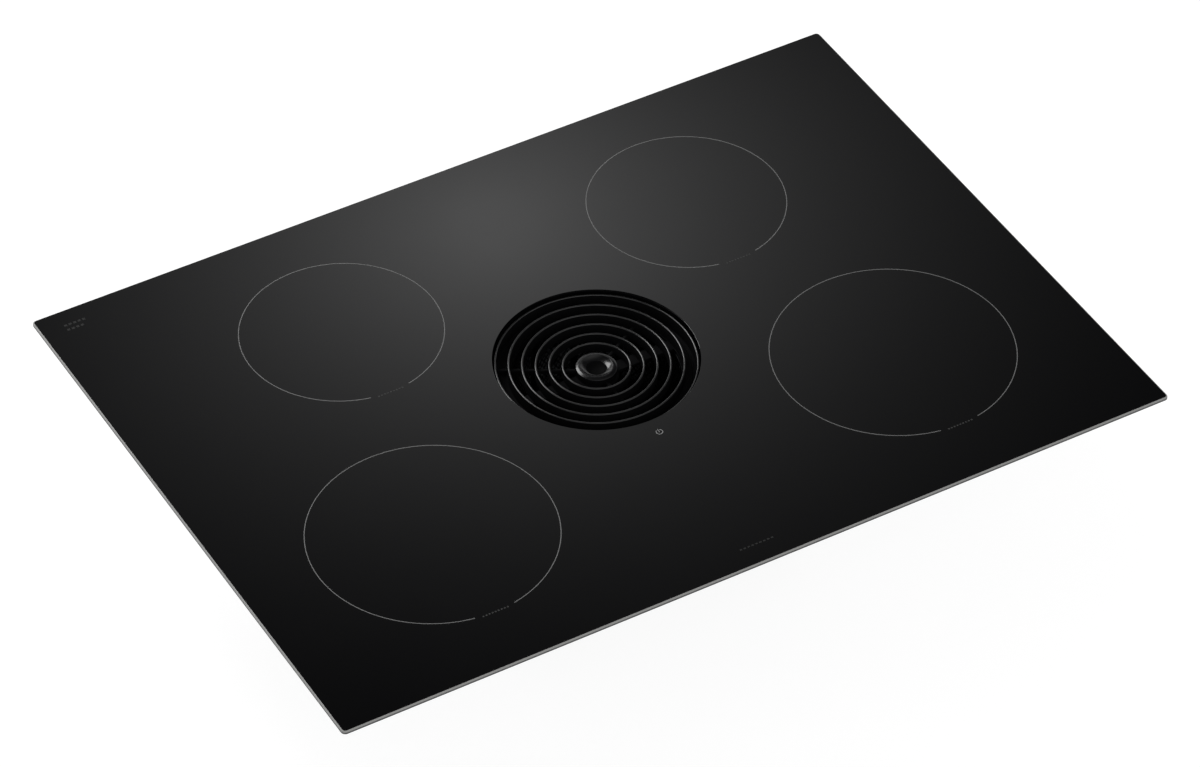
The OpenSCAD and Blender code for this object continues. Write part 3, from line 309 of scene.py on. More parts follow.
# %% [markdown]
# ## Sheet metals
#
# Galvanised sheet shows crystals of zinc, almost a centimetre across, each with its own
# grey and gloss. Voronoi cells draw them. Rolled sheet and bright plated screws have
# fine lines along one direction, which a noise drawn out along X gives. Real lines are
# a hair apart, and these are as coarse as it takes to see them. A metal's colour is its
# reflection, so metallic is 1.

# %% Sheet metals
LINE_STRETCH = (0.04, 1, 1)  # lines 25 times as long as they are wide


def galvanised(name):
    made, tree, place = new_material(name)
    crystals = add_node(tree, "ShaderNodeTexVoronoi", {
        "Vector": place, "Scale": per_metre(9)}, feature="F1").outputs["Color"]
    grey = add_node(tree, "ShaderNodeRGBToBW", {"Color": crystals}).outputs["Val"]
    dents = add_node(tree, "ShaderNodeTexNoise", {
        "Vector": place, "Scale": per_metre(4), "Detail": 3}).outputs["Fac"]
    return shaded(made, grey, ("#a4a8aa", "#c0c4c6"), (0.34, 0.5), dents, 0.04,
                  fade=(0.2, 0.8), inputs={"Metallic": 1.0})


def rolled_metal(name, dark, light, gloss, line_mm=0.8):
    made, tree, place = new_material(name)
    drawn_out = add_node(tree, "ShaderNodeMapping", {
        "Vector": place, "Scale": LINE_STRETCH}).outputs["Vector"]
    lines = add_node(tree, "ShaderNodeTexNoise", {
        "Vector": drawn_out, "Scale": per_metre(line_mm), "Detail": 2}).outputs["Fac"]
    return shaded(made, lines, (dark, light), (gloss - 0.05, gloss + 0.05), lines, 0.01,
                  inputs={"Metallic": 1.0})


metal_materials = {
    # spangled: every crystal of zinc mirrors a little differently
    "galvanised_sheet": galvanised("galvanised_steel_sheet"),
    # a warm, bright plating
    "plated_steel": rolled_metal("zinc_plated_steel", "#b9b8b0", "#c9c8c0", 0.3, 0.5),
    # neutral grey and the glossiest of the sheets
    "stainless": rolled_metal("stainless_spring_steel", "#a9a9a9", "#b9b9b9", 0.28),
    # light and faintly blue, softer than steel
    "aluminium": rolled_metal("aluminium_sheet_rolled", "#c4c6c8", "#d0d2d4", 0.35),
    # darkened to a near-black grey as painted shade inside the intake, which leaves the
    # lines
    "filter_metal": rolled_metal("aluminium_sheet_dark_painted_shade", "#303032", "#38383a",
                                 0.4),
}
print("sheet metals:", len(metal_materials))

# %% [markdown]
# ## Casting and copper
#
# The grille is a die casting with a satin black coating, whose tiny orange-peel waves
# soften the highlights. Below the crowns of its rings the coating is left matte, as
# sprayed. The coils are wound from lacquered stranded copper, whose strands cross each
# turn at a slant. They could be modelled one by one, but they lie under the glass, so
# the diagonal bands of a wave texture are enough. Real strands are finer than a pixel,
# so the bands are drawn much coarser.

# %% Casting and copper
PEEL_MM = 1.6
STRANDS_MM = 2.507
BAND_GAP = 2 * math.pi / 10 / math.sqrt(3)  # between the diagonal bands at scale 1


def black_casting(name, gloss, shine):
    made, tree, place = new_material(name)
    peel = add_node(tree, "ShaderNodeTexNoise", {
        "Vector": place, "Scale": per_metre(PEEL_MM), "Detail": 2}).outputs["Fac"]
    return shaded(made, peel, ("#0a0a0b", "#0f0f10"), gloss, peel, 0.02,
                  inputs={"IOR": PLASTIC_IOR, "Specular IOR Level": shine})


def litz_copper(name):
    made, tree, place = new_material(name)
    strands = add_node(tree, "ShaderNodeTexWave", {
        "Vector": place, "Scale": BAND_GAP * per_metre(STRANDS_MM), "Distortion": 1.5},
        wave_type="BANDS", bands_direction="DIAGONAL").outputs["Fac"]
    return shaded(made, strands, ("#8a4526", "#b9683c"), 0.38, strands, 0.15,
                  inputs={"Metallic": 1.0})


metal_materials["copper"] = litz_copper("copper_litz_lacquered")
metal_materials["black_casting"] = black_casting(
    "die_cast_aluminium_black_coated", 0.3, 0.9)
recessed_casting = black_casting("die_cast_aluminium_black_as_cast", 0.7, 0.05)
finishes = {**plastic_materials, **metal_materials, "glass_ceramic": glass_material}
print("finishes:", len(finishes))

# %% [markdown]
# ## Dress the CAD nodes
#
# Each CAD node's finish is the material slot that its record names. The mesh of a CAD
# node stays as it is: only its material slot is filled. The black mouldings outside the
# intake get a lighter black with a normal shine. The near-black, shineless plastics of
# the slots are painted shade for the parts that lie inside the intake.

# %% Give every CAD node its finish
black_outside_intake = moulded("nylon_black_outside_intake", "#161617", "#1c1c1e", 0.42)
nodes_outside_intake = (
    "damper_flap", "terminal_cover", "blower_wheel", "cooling_fan_case_left",
    "cooling_fan_case_right", "cooling_fan_wheel_left", "cooling_fan_wheel_right")

for part in frame["record"]["subparts"]:
    mesh = nodes[part["node"]].data
    mesh.materials.clear()
    mesh.materials.append(
        black_outside_intake if part["node"] in nodes_outside_intake else finishes[part["material_slot"]])

# %% [markdown]
# ## Selecting and editing
#
# An operator in Blender acts on whatever is selected. The CAD nodes are selected after
# loading, so each new piece starts from an empty selection. Faces and edges could be
# picked by their number, but numbers change with every edit. Here a test of their place
# or direction picks them. A finished piece has its place, turn and size in its mesh.

# %% Helpers for selecting and editing
NEAR = 0.01 * MM  # closer than this counts as the same place


def clear_selection():
    bpy.ops.object.select_all(action="DESELECT")


def choose(*pieces):
    """Selects only these pieces. The first one becomes the active one."""
    clear_selection()
    for piece in pieces:
        piece.select_set(True)
    bpy.context.view_layer.objects.active = pieces[0]


def edit(piece):
    choose(piece)
    bpy.ops.object.mode_set(mode="EDIT")
    bpy.ops.mesh.select_all(action="SELECT")


def pick(piece, kind, test):
    """In edit mode, selects the edges or faces of a piece that pass a test."""
    bpy.ops.mesh.select_mode(type={"edges": "EDGE", "faces": "FACE"}[kind])
    bpy.ops.mesh.select_all(action="DESELECT")
    for item in getattr(bmesh.from_edit_mesh(piece.data), kind):
        if test(item):
            item.select_set(True)
    bmesh.update_edit_mesh(piece.data)


def rise(edge):
    """How much higher one end of an edge lies than the other."""
    return abs(edge.verts[0].co.z - edge.verts[1].co.z)


def close_edit(smooth_degrees=30):
    """Points all faces outwards, leaves edit mode and smooths the gentle edges."""
    bpy.ops.mesh.select_all(action="SELECT")
    bpy.ops.mesh.normals_make_consistent(inside=False)
    bpy.ops.object.mode_set(mode="OBJECT")
    bpy.ops.object.shade_smooth_by_angle(angle=math.radians(smooth_degrees))


def settle(piece):
    choose(piece)
    bpy.ops.object.transform_apply(location=True, rotation=True, scale=True)


print("places closer than", NEAR, "m count as one")

# %% [markdown]
# ## Blocks and turned pieces
#
# Most pieces start in one of two ways. A block is a cube that is stretched between two
# corners and bevelled. A turned piece, such as a ring or a dish, is a circle that is
# extruded from point to point of its outline, as a potter pulls up a wall. A Screw
# modifier could turn it too, but each step of the extrusion can be followed here.

# %% Helpers for blocks and turned pieces
SAME_POINT = 0.002 * MM


def block(name, low, high, bevel=0.0, segments=2):
    """A box between two corners, with its edges rounded."""
    clear_selection()
    size = [h - l for l, h in zip(low, high)]
    middle = [(h + l) / 2 for l, h in zip(low, high)]
    bpy.ops.mesh.primitive_cube_add(size=1, location=middle)
    piece = bpy.context.object
    piece.name = name
    edit(piece)
    bpy.ops.transform.resize(value=size, center_override=middle)
    if bevel:
        bpy.ops.mesh.bevel(offset=bevel, segments=segments, affect="EDGES")
    close_edit()
    settle(piece)
    return piece


def turned(name, outline, steps=96, middle=(0, 0), closed=True):
    """Turns an outline of (radius, height) points about an upright axis."""
    clear_selection()
    radius, height = outline[0]
    bpy.ops.mesh.primitive_circle_add(
        vertices=steps, radius=radius, location=(*middle, height))
    piece = bpy.context.object
    piece.name = name
    edit(piece)
    for next_radius, next_height in outline[1:] + (outline[:1] if closed else []):
        bpy.ops.mesh.extrude_edges_indiv()
        bpy.ops.transform.translate(value=(0, 0, next_height - height))
        if next_radius == 0:
            bpy.ops.mesh.merge(type="CENTER")
            break
        grow = next_radius / radius
        bpy.ops.transform.resize(
            value=(grow, grow, 1), center_override=(*middle, next_height))
        radius, height = next_radius, next_height
    bpy.ops.mesh.select_all(action="SELECT")
    bpy.ops.mesh.remove_doubles(threshold=SAME_POINT)
    close_edit()
    settle(piece)
    return piece


def cap_ends(piece, smooth_degrees=30):
    """Fills the holes that an open turned piece leaves round its axis."""
    edit(piece)
    pick(piece, "edges", lambda e: len(e.link_faces) == 1)
    bpy.ops.mesh.fill_holes(sides=0)
    close_edit(smooth_degrees)
    return piece


print("points closer than", SAME_POINT, "m are merged")

# %% [markdown]
# ## Joining, copying and finishing
#
# What repeats is modelled once and copied. A copy could share the first one's mesh, but
# each gets a mesh of its own, so that its place can be put into it. At the end a piece
# gets its material, the slot's own finish if it has none, and the body that it moves
# with. If it stands for a CAD node, the node is hidden.

# %% Helpers for joining, copying and finishing


def joined(name, parts):
    choose(*parts)
    bpy.ops.object.join()
    parts[0].name = name
    return parts[0]


def copied(piece, move=(0, 0, 0), turn_z=0.0):
    """A copy with its own mesh, turned about the world's Z axis and then moved."""
    twin = piece.copy()
    twin.data = piece.data.copy()
    bpy.context.scene.collection.objects.link(twin)
    twin.rotation_euler = (0, 0, turn_z)
    twin.location = move
    settle(twin)
    return twin


def finish(piece, slot, body, *replaced, material=None):
    """Ends a piece. It keeps the materials it has, or else gets the slot's own finish."""
    if material or not len(piece.data.materials):
        piece.data.materials.clear()
        piece.data.materials.append(material or finishes[slot])
    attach(piece, body)
    if replaced:
        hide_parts(*replaced)
    print(piece.name, "has", len(piece.data.polygons), "faces")


# %% [markdown]
# ## The glass plate
#
# The CAD plate has the right size. Its copy here gets a finer grind: a flat bevel along
# the top edge with a soft break on either side, a second bevel underneath, and a polished
# lip round the hole. The hole is cut with a boolean, because the plate is then one clean
# shell. The top lies 0.05 mm lower than the CAD plate's, which leaves room for the print.

# %% Model the glass plate
PRINT_T = 0.05 * MM
CORNER_R = 4 * MM
BEVEL = 1.0 * MM
FOOT_BEVEL = 1.1 * MM
EDGE_BREAK = 0.15 * MM

plate_top = glass_face - PRINT_T


def glass_plate():
    clear_selection()
    middle = (0, 0, (glass_under + plate_top) / 2)
    top = (plate_top - glass_under) / 2
    bpy.ops.mesh.primitive_cube_add(size=1, location=middle)
    made = bpy.context.object
    made.name = "glass_plate"
    edit(made)
    bpy.ops.transform.resize(
        value=(2 * glass_half_w, 2 * glass_half_d, 2 * top), center_override=middle)
    pick(made, "edges", lambda e: rise(e) > NEAR)
    bpy.ops.mesh.bevel(offset=CORNER_R, segments=6, affect="EDGES")
    pick(made, "edges", lambda e: all(v.co.z < NEAR - top for v in e.verts))
    bpy.ops.mesh.bevel(offset=FOOT_BEVEL, segments=1, affect="EDGES")
    pick(made, "edges", lambda e: all(v.co.z > top - NEAR for v in e.verts))
    bpy.ops.mesh.bevel(offset=BEVEL, segments=1, affect="EDGES")
    pick(made, "edges", lambda e: rise(e) < NEAR and e.verts[0].co.z > 0)
    bpy.ops.mesh.bevel(offset=EDGE_BREAK, segments=2, affect="EDGES")
    bpy.ops.object.mode_set(mode="OBJECT")
    settle(made)
    return made


plate = glass_plate()
print("plate without its hole:", len(plate.data.polygons), "faces")

# %% [markdown]
# The hole goes through the plate where the grille lies. Its cutter is a turned plug that
# widens towards the top in two short slopes. They leave the polished lip, where a plain
# cylinder would leave a sharp edge.

# %% Cut the hole
VENT_R = 88 * MM
LIP = 0.2 * MM
PAST = 1 * MM  # the cutter reaches this far past both faces

cutter = cap_ends(turned("vent_cutter", [
    (VENT_R, glass_under - PAST), (VENT_R, plate_top - LIP),
    (VENT_R + 0.25 * LIP, plate_top - 0.35 * LIP), (VENT_R + LIP, plate_top + 0.1 * LIP),
    (VENT_R + LIP, plate_top + PAST)], steps=192, closed=False))
choose(plate)
cut = plate.modifiers.new("vent", "BOOLEAN")
cut.operation = "DIFFERENCE"
cut.object = cutter
cut.solver = "EXACT"
bpy.ops.object.modifier_apply(modifier=cut.name)
bpy.data.objects.remove(cutter)
print("plate with its hole:", len(plate.data.polygons), "faces")

# %% [markdown]
# The plate carries three finishes. A face that looks straight up or down is polished,
# and so is the wall of the hole. Round the outside, the faces that slant upwards are the
# bevel, in a lighter grey as painted light. Those below it are the ground edge, in a
# darker grey as painted shade. The bevels are shaded smooth, but the big flat face
# isn't: it is a mirror, and shading it smooth would bend what it shows.

# %% Give the glass plate its three finishes
POLISHED, BEVELLED, GROUND = 0, 1, 2
OUTER_SHARE = 0.98  # a face further out than this share of the plate is on its edge
FLAT = 0.99         # the least Z of a flat face's normal
SLANTED = 0.2       # and of a bevel's

for glass_finish in (glass_material, painted_light_bevel_material, painted_shade_edge_material):
    plate.data.materials.append(glass_finish)
for face in plate.data.polygons:
    out = max(abs(face.center.x) / glass_half_w, abs(face.center.y) / glass_half_d)
    if out <= OUTER_SHARE or abs(face.normal.z) >= FLAT:
        face.material_index = POLISHED
    else:
        # slanted bevel faces get the painted light grey, upright edge faces the painted
        # shade grey
        face.material_index = BEVELLED if face.normal.z >= SLANTED else GROUND
choose(plate)
bpy.ops.object.shade_smooth_by_angle(angle=math.radians(20))
for face in plate.data.polygons:
    if abs(face.normal.z) > 0.9999:
        face.use_smooth = False
finish(plate, "glass_ceramic", "cooktop", "glass_top")
print("bevel faces:", sum(f.material_index == BEVELLED for f in plate.data.polygons))

# %% [markdown]
# ## The print on the glass
#
# Each zone is a thin ring that stays open at the front, where a few short dashes show
# its power steps. A bent curve could be given a width, but two circles with faces
# between them are exact, and the faces in the gap are easily found and deleted. The
# rest gets the thickness of the print.

# %% Zone rings
LINE_W = 0.72 * MM
GAP = 35 * MM
RING_STEPS = 360
zones = {  # x, y and radius, in millimetres
    "front_left": (-221.5, -116.1, 104.5), "front_right": (221.5, -116.1, 104.5),
    "rear_left": (-169.6, 137.2, 87.1), "rear_right": (169.6, 137.2, 87.1),
}


def zone_ring(name, x, y, r):
    """An open ring round (x, y), with its gap towards the front."""
    clear_selection()
    middle = (x, y, plate_top)
    inner, outer = r - LINE_W / 2, r + LINE_W / 2
    bpy.ops.mesh.primitive_circle_add(vertices=RING_STEPS, radius=inner, location=middle)
    ring = bpy.context.object
    ring.name = name
    edit(ring)
    bpy.ops.mesh.extrude_edges_indiv()
    bpy.ops.transform.resize(
        value=(outer / inner, outer / inner, 1), center_override=middle)
    half_gap = GAP / 2 / r
    pick(ring, "faces", lambda f: abs(
        math.atan2(f.calc_center_median().x, -f.calc_center_median().y)) < half_gap)
    bpy.ops.mesh.delete(type="FACE")
    bpy.ops.mesh.select_all(action="SELECT")
    bpy.ops.mesh.extrude_region_move(TRANSFORM_OT_translate={"value": (0, 0, PRINT_T)})
    close_edit()
    settle(ring)
    return ring


for zone, (x, y, r) in zones.items():
    ring = zone_ring(f"zone_ring_{zone}", x * MM, y * MM, r * MM)
    finish(ring, "glass_ceramic", "cooktop", material=print_material)

# %% [markdown]
# The dashes in the gaps, the row of touch marks at the front edge and the dashes in the
# rear corner are all the same kind of small bar. An Array modifier could repeat it, but
# here it is made once for a row and copied along it, as all that repeats on the cooktop.

# %% Dashes


def dashes(name, x, y, count, length, step, width, material):
    """A row of short printed bars, centred on (x, y), all in millimetres."""
    first = x - (count - 1) / 2 * step
    bar = block(name, ((first - length / 2) * MM, (y - width / 2) * MM, plate_top),
                ((first + length / 2) * MM, (y + width / 2) * MM, plate_top + PRINT_T))
    bars = [bar] + [copied(bar, move=(i * step * MM, 0, 0)) for i in range(1, count)]
    finish(joined(name, bars), "glass_ceramic", "cooktop", material=material)


for zone, (x, y, r) in zones.items():
    dashes(f"zone_marks_{zone}", x, y - r, 9, 1.5, 2.8, 1.4, faint_print_material)
dashes("touch_marks", 0.5, -258, 9, 2.2, 3.7, 1.5, dim_print_material)
dashes("corner_marks_0", -360, 260, 5, 2.6, 4.2, 2.4, dim_print_material)
dashes("corner_marks_1", -362, 254, 4, 2.6, 4.2, 2.4, dim_print_material)

# %% [markdown]
# The mark by the intake is the plain symbol for on and off: an open ring with a bar in
# its gap. A closed ring is turned, the faces in the gap are deleted, and the two open
# ends are filled.

# %% On-off mark
MARK_Y = -104 * MM
MARK_INNER_R = 2.55 * MM
MARK_OUTER_R = 3 * MM
MARK_HALF_GAP = 0.5  # radians
BAR_HALF_W = 0.22 * MM


def on_off_mark():
    top = plate_top + PRINT_T
    ring = turned("on_off_ring", [
        (MARK_INNER_R, plate_top), (MARK_OUTER_R, plate_top), (MARK_OUTER_R, top),
        (MARK_INNER_R, top)], steps=72, middle=(0, MARK_Y))
    edit(ring)
    pick(ring, "faces", lambda f: abs(math.atan2(
        f.calc_center_median().x, f.calc_center_median().y - MARK_Y)) < MARK_HALF_GAP)
    bpy.ops.mesh.delete(type="FACE")
    pick(ring, "edges", lambda e: len(e.link_faces) == 1)
    bpy.ops.mesh.fill_holes(sides=4)
    close_edit()
    bar = block("on_off_bar", (-BAR_HALF_W, MARK_Y - 0.2 * MM, plate_top),
                (BAR_HALF_W, MARK_Y + 3.2 * MM, top))
    return joined("on_off_mark", [ring, bar])


finish(on_off_mark(), "glass_ceramic", "cooktop", material=bright_print_material)

# %% [markdown]
# ## The grille
#
# The grille is a casting of six upright rings on three low spokes, laid into the intake.
# The tops of the rings form a shallow dish, and each has a rounded crown, which draws a
# thin line of light. The radii and the dish follow the CAD grille. One ring could be
# scaled for all six, but its wall would get thicker with it. So each ring is turned from
# its own outline, a little lower than the one outside it.

# %% Model the grille's rings
RING_T = 1.8 * MM
RING_COUNT = 6
RING_INNER_R = 28.5 * MM
RING_OUTER_R = 85.6 * MM
RING_EDGE = 0.3 * MM
CROWN = 0.9  # the height of a crown as a share of half the ring's thickness
HUB_DEPTH = 7.8 * MM
EDGE_DEPTH = 3.6 * MM
DISH_POWER = 1.5

ring_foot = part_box("grille_rings")[0].z


def ring_outline(radius, top):
    """An upright wall with a rounded crown and broken lower edges."""
    half = RING_T / 2
    crown = [(radius + half * math.cos(a), top - CROWN * half * (1 - math.sin(a)))
             for a in [math.radians(180 * i / 8) for i in range(9)]]
    return [(radius - half, ring_foot + RING_EDGE), (radius - half + RING_EDGE, ring_foot),
            (radius + half - RING_EDGE, ring_foot), (radius + half, ring_foot + RING_EDGE),
            *crown]


grille_parts = []
for i in range(1, RING_COUNT + 1):
    ring_r = RING_INNER_R + (i - 1) * (RING_OUTER_R - RING_INNER_R) / (RING_COUNT - 1)
    ring_top = glass_face - HUB_DEPTH + (
        HUB_DEPTH - EDGE_DEPTH) * (i / RING_COUNT) ** DISH_POWER
    grille_parts.append(turned(f"ring_{i}", ring_outline(ring_r, ring_top), steps=160))
    print("ring", i, "radius", round(ring_r / MM, 1), "mm, top", round(ring_top / MM, 1))

# %% [markdown]
# A socket for the hub and three spokes carry the rings. One spoke is a rounded bar, and
# its copies are turned by a third of a circle. Everything that doesn't look upwards, or
# that lies down at the spokes, keeps the matte coating of the casting.

# %% Add the spokes and finish the grille
SPOKE_H = 4 * MM
SPOKE_T = 3 * MM
SPOKE_EDGE = 0.8 * MM
SATIN, MATTE = 0, 1
LOOKS_UP = 0.1  # the least Z of a normal that counts as looking upwards

hub_low, hub_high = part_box("grille_hub")
hub_r = hub_high.x
spoke_top = ring_foot + SPOKE_H

grille_parts.append(turned("grille_socket", [
    (hub_r - 3 * MM, ring_foot), (hub_r - 0.6 * MM, ring_foot),
    (hub_r - 0.6 * MM, spoke_top), (hub_r - 3 * MM, spoke_top)]))
spoke = block("grille_spoke", (hub_r - 2 * MM, -SPOKE_T / 2, ring_foot),
              (RING_OUTER_R, SPOKE_T / 2, spoke_top), SPOKE_EDGE, 3)
grille_parts += [copied(spoke, turn_z=math.radians(turn)) for turn in (30, 150, 270)]
bpy.data.objects.remove(spoke)
grille = joined("grille_casting", grille_parts)
grille.data.materials.append(finishes["black_casting"])
grille.data.materials.append(recessed_casting)
for face in grille.data.polygons:
    low = face.center.z < spoke_top + 0.1 * MM
    face.material_index = MATTE if low or face.normal.z < LOOKS_UP else SATIN
finish(grille, "black_casting", "grille", "grille_rings")

# %% [markdown]
# The hub in the middle is a satin cap with a dish deep enough for a fingertip, by which
# the grille is lifted out. Its rim is broad and slopes gently outwards, so it draws a
# soft crescent where it faces the lamp. Inside a crisp edge lies a bowl, which gathers the
# lamp into one soft spot, and in the middle of the bowl a deeper pocket. The pocket gets
# the near-black, shineless plastic, a painted shade that makes it the darkest part. All
# this could be sculpted, but one outline with a curve for each part keeps it round and
# easy to change.

# %% Model the hub
STEM_IN = 3.2 * MM
HUB_EDGE = 0.5 * MM
RIM_R = 13.9 * MM
RIM_DROP = 0.9 * MM
BROW_R = 13.5 * MM
BROW_DROP = 0.25 * MM
BOWL_DEPTH = 3.5 * MM
BOWL_POWER = 3.2
POCKET_R = 8.9 * MM
DISH_DEPTH = 6.5 * MM
CURVE_STEPS = 12


def hub_outline():
    top = glass_face - HUB_DEPTH
    seat = spoke_top + 0.2 * MM
    stem_r = hub_r - STEM_IN
    edge_r = hub_r - HUB_EDGE
    stem = [(0.6 * stem_r, hub_low.z), (stem_r, hub_low.z), (stem_r, seat),
            (hub_r - 0.3 * MM, seat), (hub_r, seat + 0.3 * MM)]
    edge = [(edge_r + HUB_EDGE * math.cos(a),
             top - RIM_DROP - HUB_EDGE * (1 - math.sin(a)))
            for a in [math.radians(60 * i / 6) for i in range(7)]]
    rim = [(RIM_R + (edge_r - RIM_R) * u, top - RIM_DROP * u ** 2)
           for u in [1 - i / CURVE_STEPS for i in range(CURVE_STEPS + 1)]]
    brow = [(BROW_R + (RIM_R - BROW_R) * (1 - math.sin(a)),
             top - BROW_DROP * (1 - math.cos(a)))
            for a in [math.radians(60 * i / 5) for i in range(1, 6)]]
    bowl_r, bowl_z = brow[-1]
    bowl = [(r, bowl_z - BOWL_DEPTH * (1 - (r / bowl_r) ** BOWL_POWER))
            for r in [bowl_r + (POCKET_R - bowl_r) * i / CURVE_STEPS
                      for i in range(1, CURVE_STEPS + 1)]]
    floor_z = top - DISH_DEPTH
    pocket = [(POCKET_R * u, floor_z + (bowl[-1][1] - floor_z) * u ** 3)
              for u in [1 - i / CURVE_STEPS for i in range(1, CURVE_STEPS)]]
    return stem + edge + rim + brow + bowl + pocket + [(0, floor_z)]


hub = cap_ends(turned("grille_hub_cap", hub_outline(), closed=False))
hub.data.materials.append(finishes["gloss_black"])
hub.data.materials.append(finishes["black_plastic"])
# painted shade: the faces inside the pocket get the near-black plastic
for face in hub.data.polygons:
    face.material_index = int(math.hypot(face.center.x, face.center.y) < POCKET_R)
finish(hub, "gloss_black", "grille", "grille_hub")

# %% [markdown]
# ## The grease filter
#
# Below the grille hangs the filter basket: a rim that lies on the ledge, a wall of
# expanded metal and a closed cup. Expanded metal is sheet that is slit and pulled open
# into diamonds. The wall starts as an open cylinder cut into rows. Poking each face
# gives it diagonals, and dissolving all the level and upright edges leaves diamonds.
# The Wireframe modifier then turns their edges into strands. A plain wall with a pattern
# of holes in its material would be lighter, but it would look flat from nearby.

# %% Model the filter's wall
LATTICE_STEPS = 96
LATTICE_ROWS = 10
STRAND = 1.1 * MM
BASKET_R = 77 * MM

mesh_low, mesh_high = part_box("filter_mesh")
wall_r = BASKET_R - 3.7 * MM


def expanded_metal():
    clear_selection()
    bpy.ops.mesh.primitive_cylinder_add(
        vertices=LATTICE_STEPS, radius=wall_r, depth=mesh_high.z - mesh_low.z,
        end_fill_type="NOTHING", location=(0, 0, (mesh_low.z + mesh_high.z) / 2))
    wall = bpy.context.object
    edit(wall)
    pick(wall, "edges", lambda e: rise(e) > NEAR)
    bpy.ops.mesh.subdivide(number_cuts=LATTICE_ROWS - 1)
    bpy.ops.mesh.select_all(action="SELECT")
    bpy.ops.mesh.poke()
    pick(wall, "edges", lambda e: len(e.link_faces) == 2 and (
        rise(e) < NEAR or (e.verts[0].co.xy - e.verts[1].co.xy).length < NEAR))
    bpy.ops.mesh.dissolve_edges(use_verts=False)
    bpy.ops.object.mode_set(mode="OBJECT")
    strands = wall.modifiers.new("strands", "WIREFRAME")
    strands.thickness = STRAND
    strands.use_boundary = True
    bpy.ops.object.modifier_apply(modifier=strands.name)
    settle(wall)
    return wall


filter_parts = [expanded_metal()]
print("lattice:", LATTICE_STEPS, "by", LATTICE_ROWS, "diamonds")

# %% [markdown]
# A band clasps the lattice at its foot and another at its top, and twelve posts join the
# cup to the rim. Band and post are each made once and copied.

# %% Add the filter's bands and posts
BAND_HALF_T = 0.7 * MM
BAND_H = 4 * MM
POST_COUNT = 12
POST_HALF_W = 2.6 * MM
PLAY = 0.3 * MM
COLLAR_DROP = 6 * MM
RIM_T = 3 * MM

cup_low, cup_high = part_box("filter_cup")
rim_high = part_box("filter_rim")[1]
rim_z = rim_high.z - RIM_T

band = turned("filter_band", [
    (wall_r - BAND_HALF_T, mesh_low.z), (wall_r + BAND_HALF_T, mesh_low.z),
    (wall_r + BAND_HALF_T, mesh_low.z + BAND_H),
    (wall_r - BAND_HALF_T, mesh_low.z + BAND_H)])
filter_parts += [band, copied(band, move=(0, 0, mesh_high.z - BAND_H - mesh_low.z))]
post = block("filter_post", (wall_r - 0.6 * MM, -POST_HALF_W, cup_high.z + PLAY),
             (BASKET_R - PLAY, POST_HALF_W, rim_z - COLLAR_DROP - PLAY), 0.6 * MM)
for i in range(POST_COUNT):
    filter_parts.append(copied(post, turn_z=math.radians((i + 0.5) * 360 / POST_COUNT)))
bpy.data.objects.remove(post)
finish(joined("filter_lattice", filter_parts), "filter_metal", "filter", "filter_mesh")

# %% [markdown]
# The moulded parts of the basket get what a mould gives them: rounded edges and a
# shallow groove in the rim. A bevel could round a plain ring, but every step here has a
# radius of its own. So the outlines are tables of radius and height. One that starts
# and ends near the axis is closed there by filling the two small holes.

# %% Model the filter's rim and cup
MOULDED_DEGREES = 35  # up to this angle, two faces of a moulded edge are shaded as one
FINE_STEPS = 128


def from_table(rows, base=0.0):
    """An outline in millimetres, lifted to a base level."""
    return [(r * MM, base + z * MM) for r, z in rows]


rim_r = rim_high.x / MM
filter_rim = turned("filter_rim_ring", from_table([
    (73, 0.5), (73.5, 0), (74.4, 0), (74.4, -5.7), (74.7, -6), (76.7, -6), (77, -5.7),
    (77, 0), (rim_r - 0.5, 0), (rim_r, 0.5), (rim_r, 2.4), (rim_r - 0.6, 3), (83.2, 3),
    (82.6, 2.4), (81.4, 2.4), (80.8, 3), (73.6, 3), (73, 2.4)], rim_z), steps=FINE_STEPS)
finish(filter_rim, "dark_plastic", "filter", "filter_rim")

filter_cup = cap_ends(turned("filter_cup_shell", from_table([
    (3, 2.5), (68.8, 2.5), (70.4, 4), (70.4, 8.4), (71, 9), (74.4, 9), (74.4, 13.6),
    (74.8, 14), (76.6, 14), (77, 13.6), (77, 3.4), (76.1, 1.2), (74, 0), (60, 0), (58, 0.8),
    (20, 0.8), (18, 0), (3, 0)], cup_low.z), steps=FINE_STEPS, closed=False),
    MOULDED_DEGREES)
finish(filter_cup, "dark_plastic", "filter", "filter_cup")

# %% [markdown]
# The handle is a flat bar across the basket with a finger ring in its middle. The ring is
# turned, and one arm is made and turned about the axis for the other side.

# %% Model the filter's handle
ARM_HALF_W = 6 * MM

handle_parts = [turned("handle_ring", from_table([
    (14, 0.6), (14.6, 0), (18.4, 0), (19, 0.6), (19, 2.4), (18.4, 3), (14.6, 3), (14, 2.4)],
    rim_z))]
arm = block("handle_arm", (17 * MM, -ARM_HALF_W, rim_z),
            (72.7 * MM, ARM_HALF_W, rim_z + RIM_T), 0.7 * MM, 3)
handle_parts += [arm, copied(arm, turn_z=math.pi)]
finish(joined("filter_handle_bar", handle_parts), "dark_plastic", "filter", "filter_handle")

# %% [markdown]
# Under the basket stands the drip tray: a bowl with a rolled lip, which catches the
# grease, and a stem in its middle to lift it by. Bowl, lip and stem could be joined from
# three pieces, but the real tray is moulded in one, and so one outline turns them all.

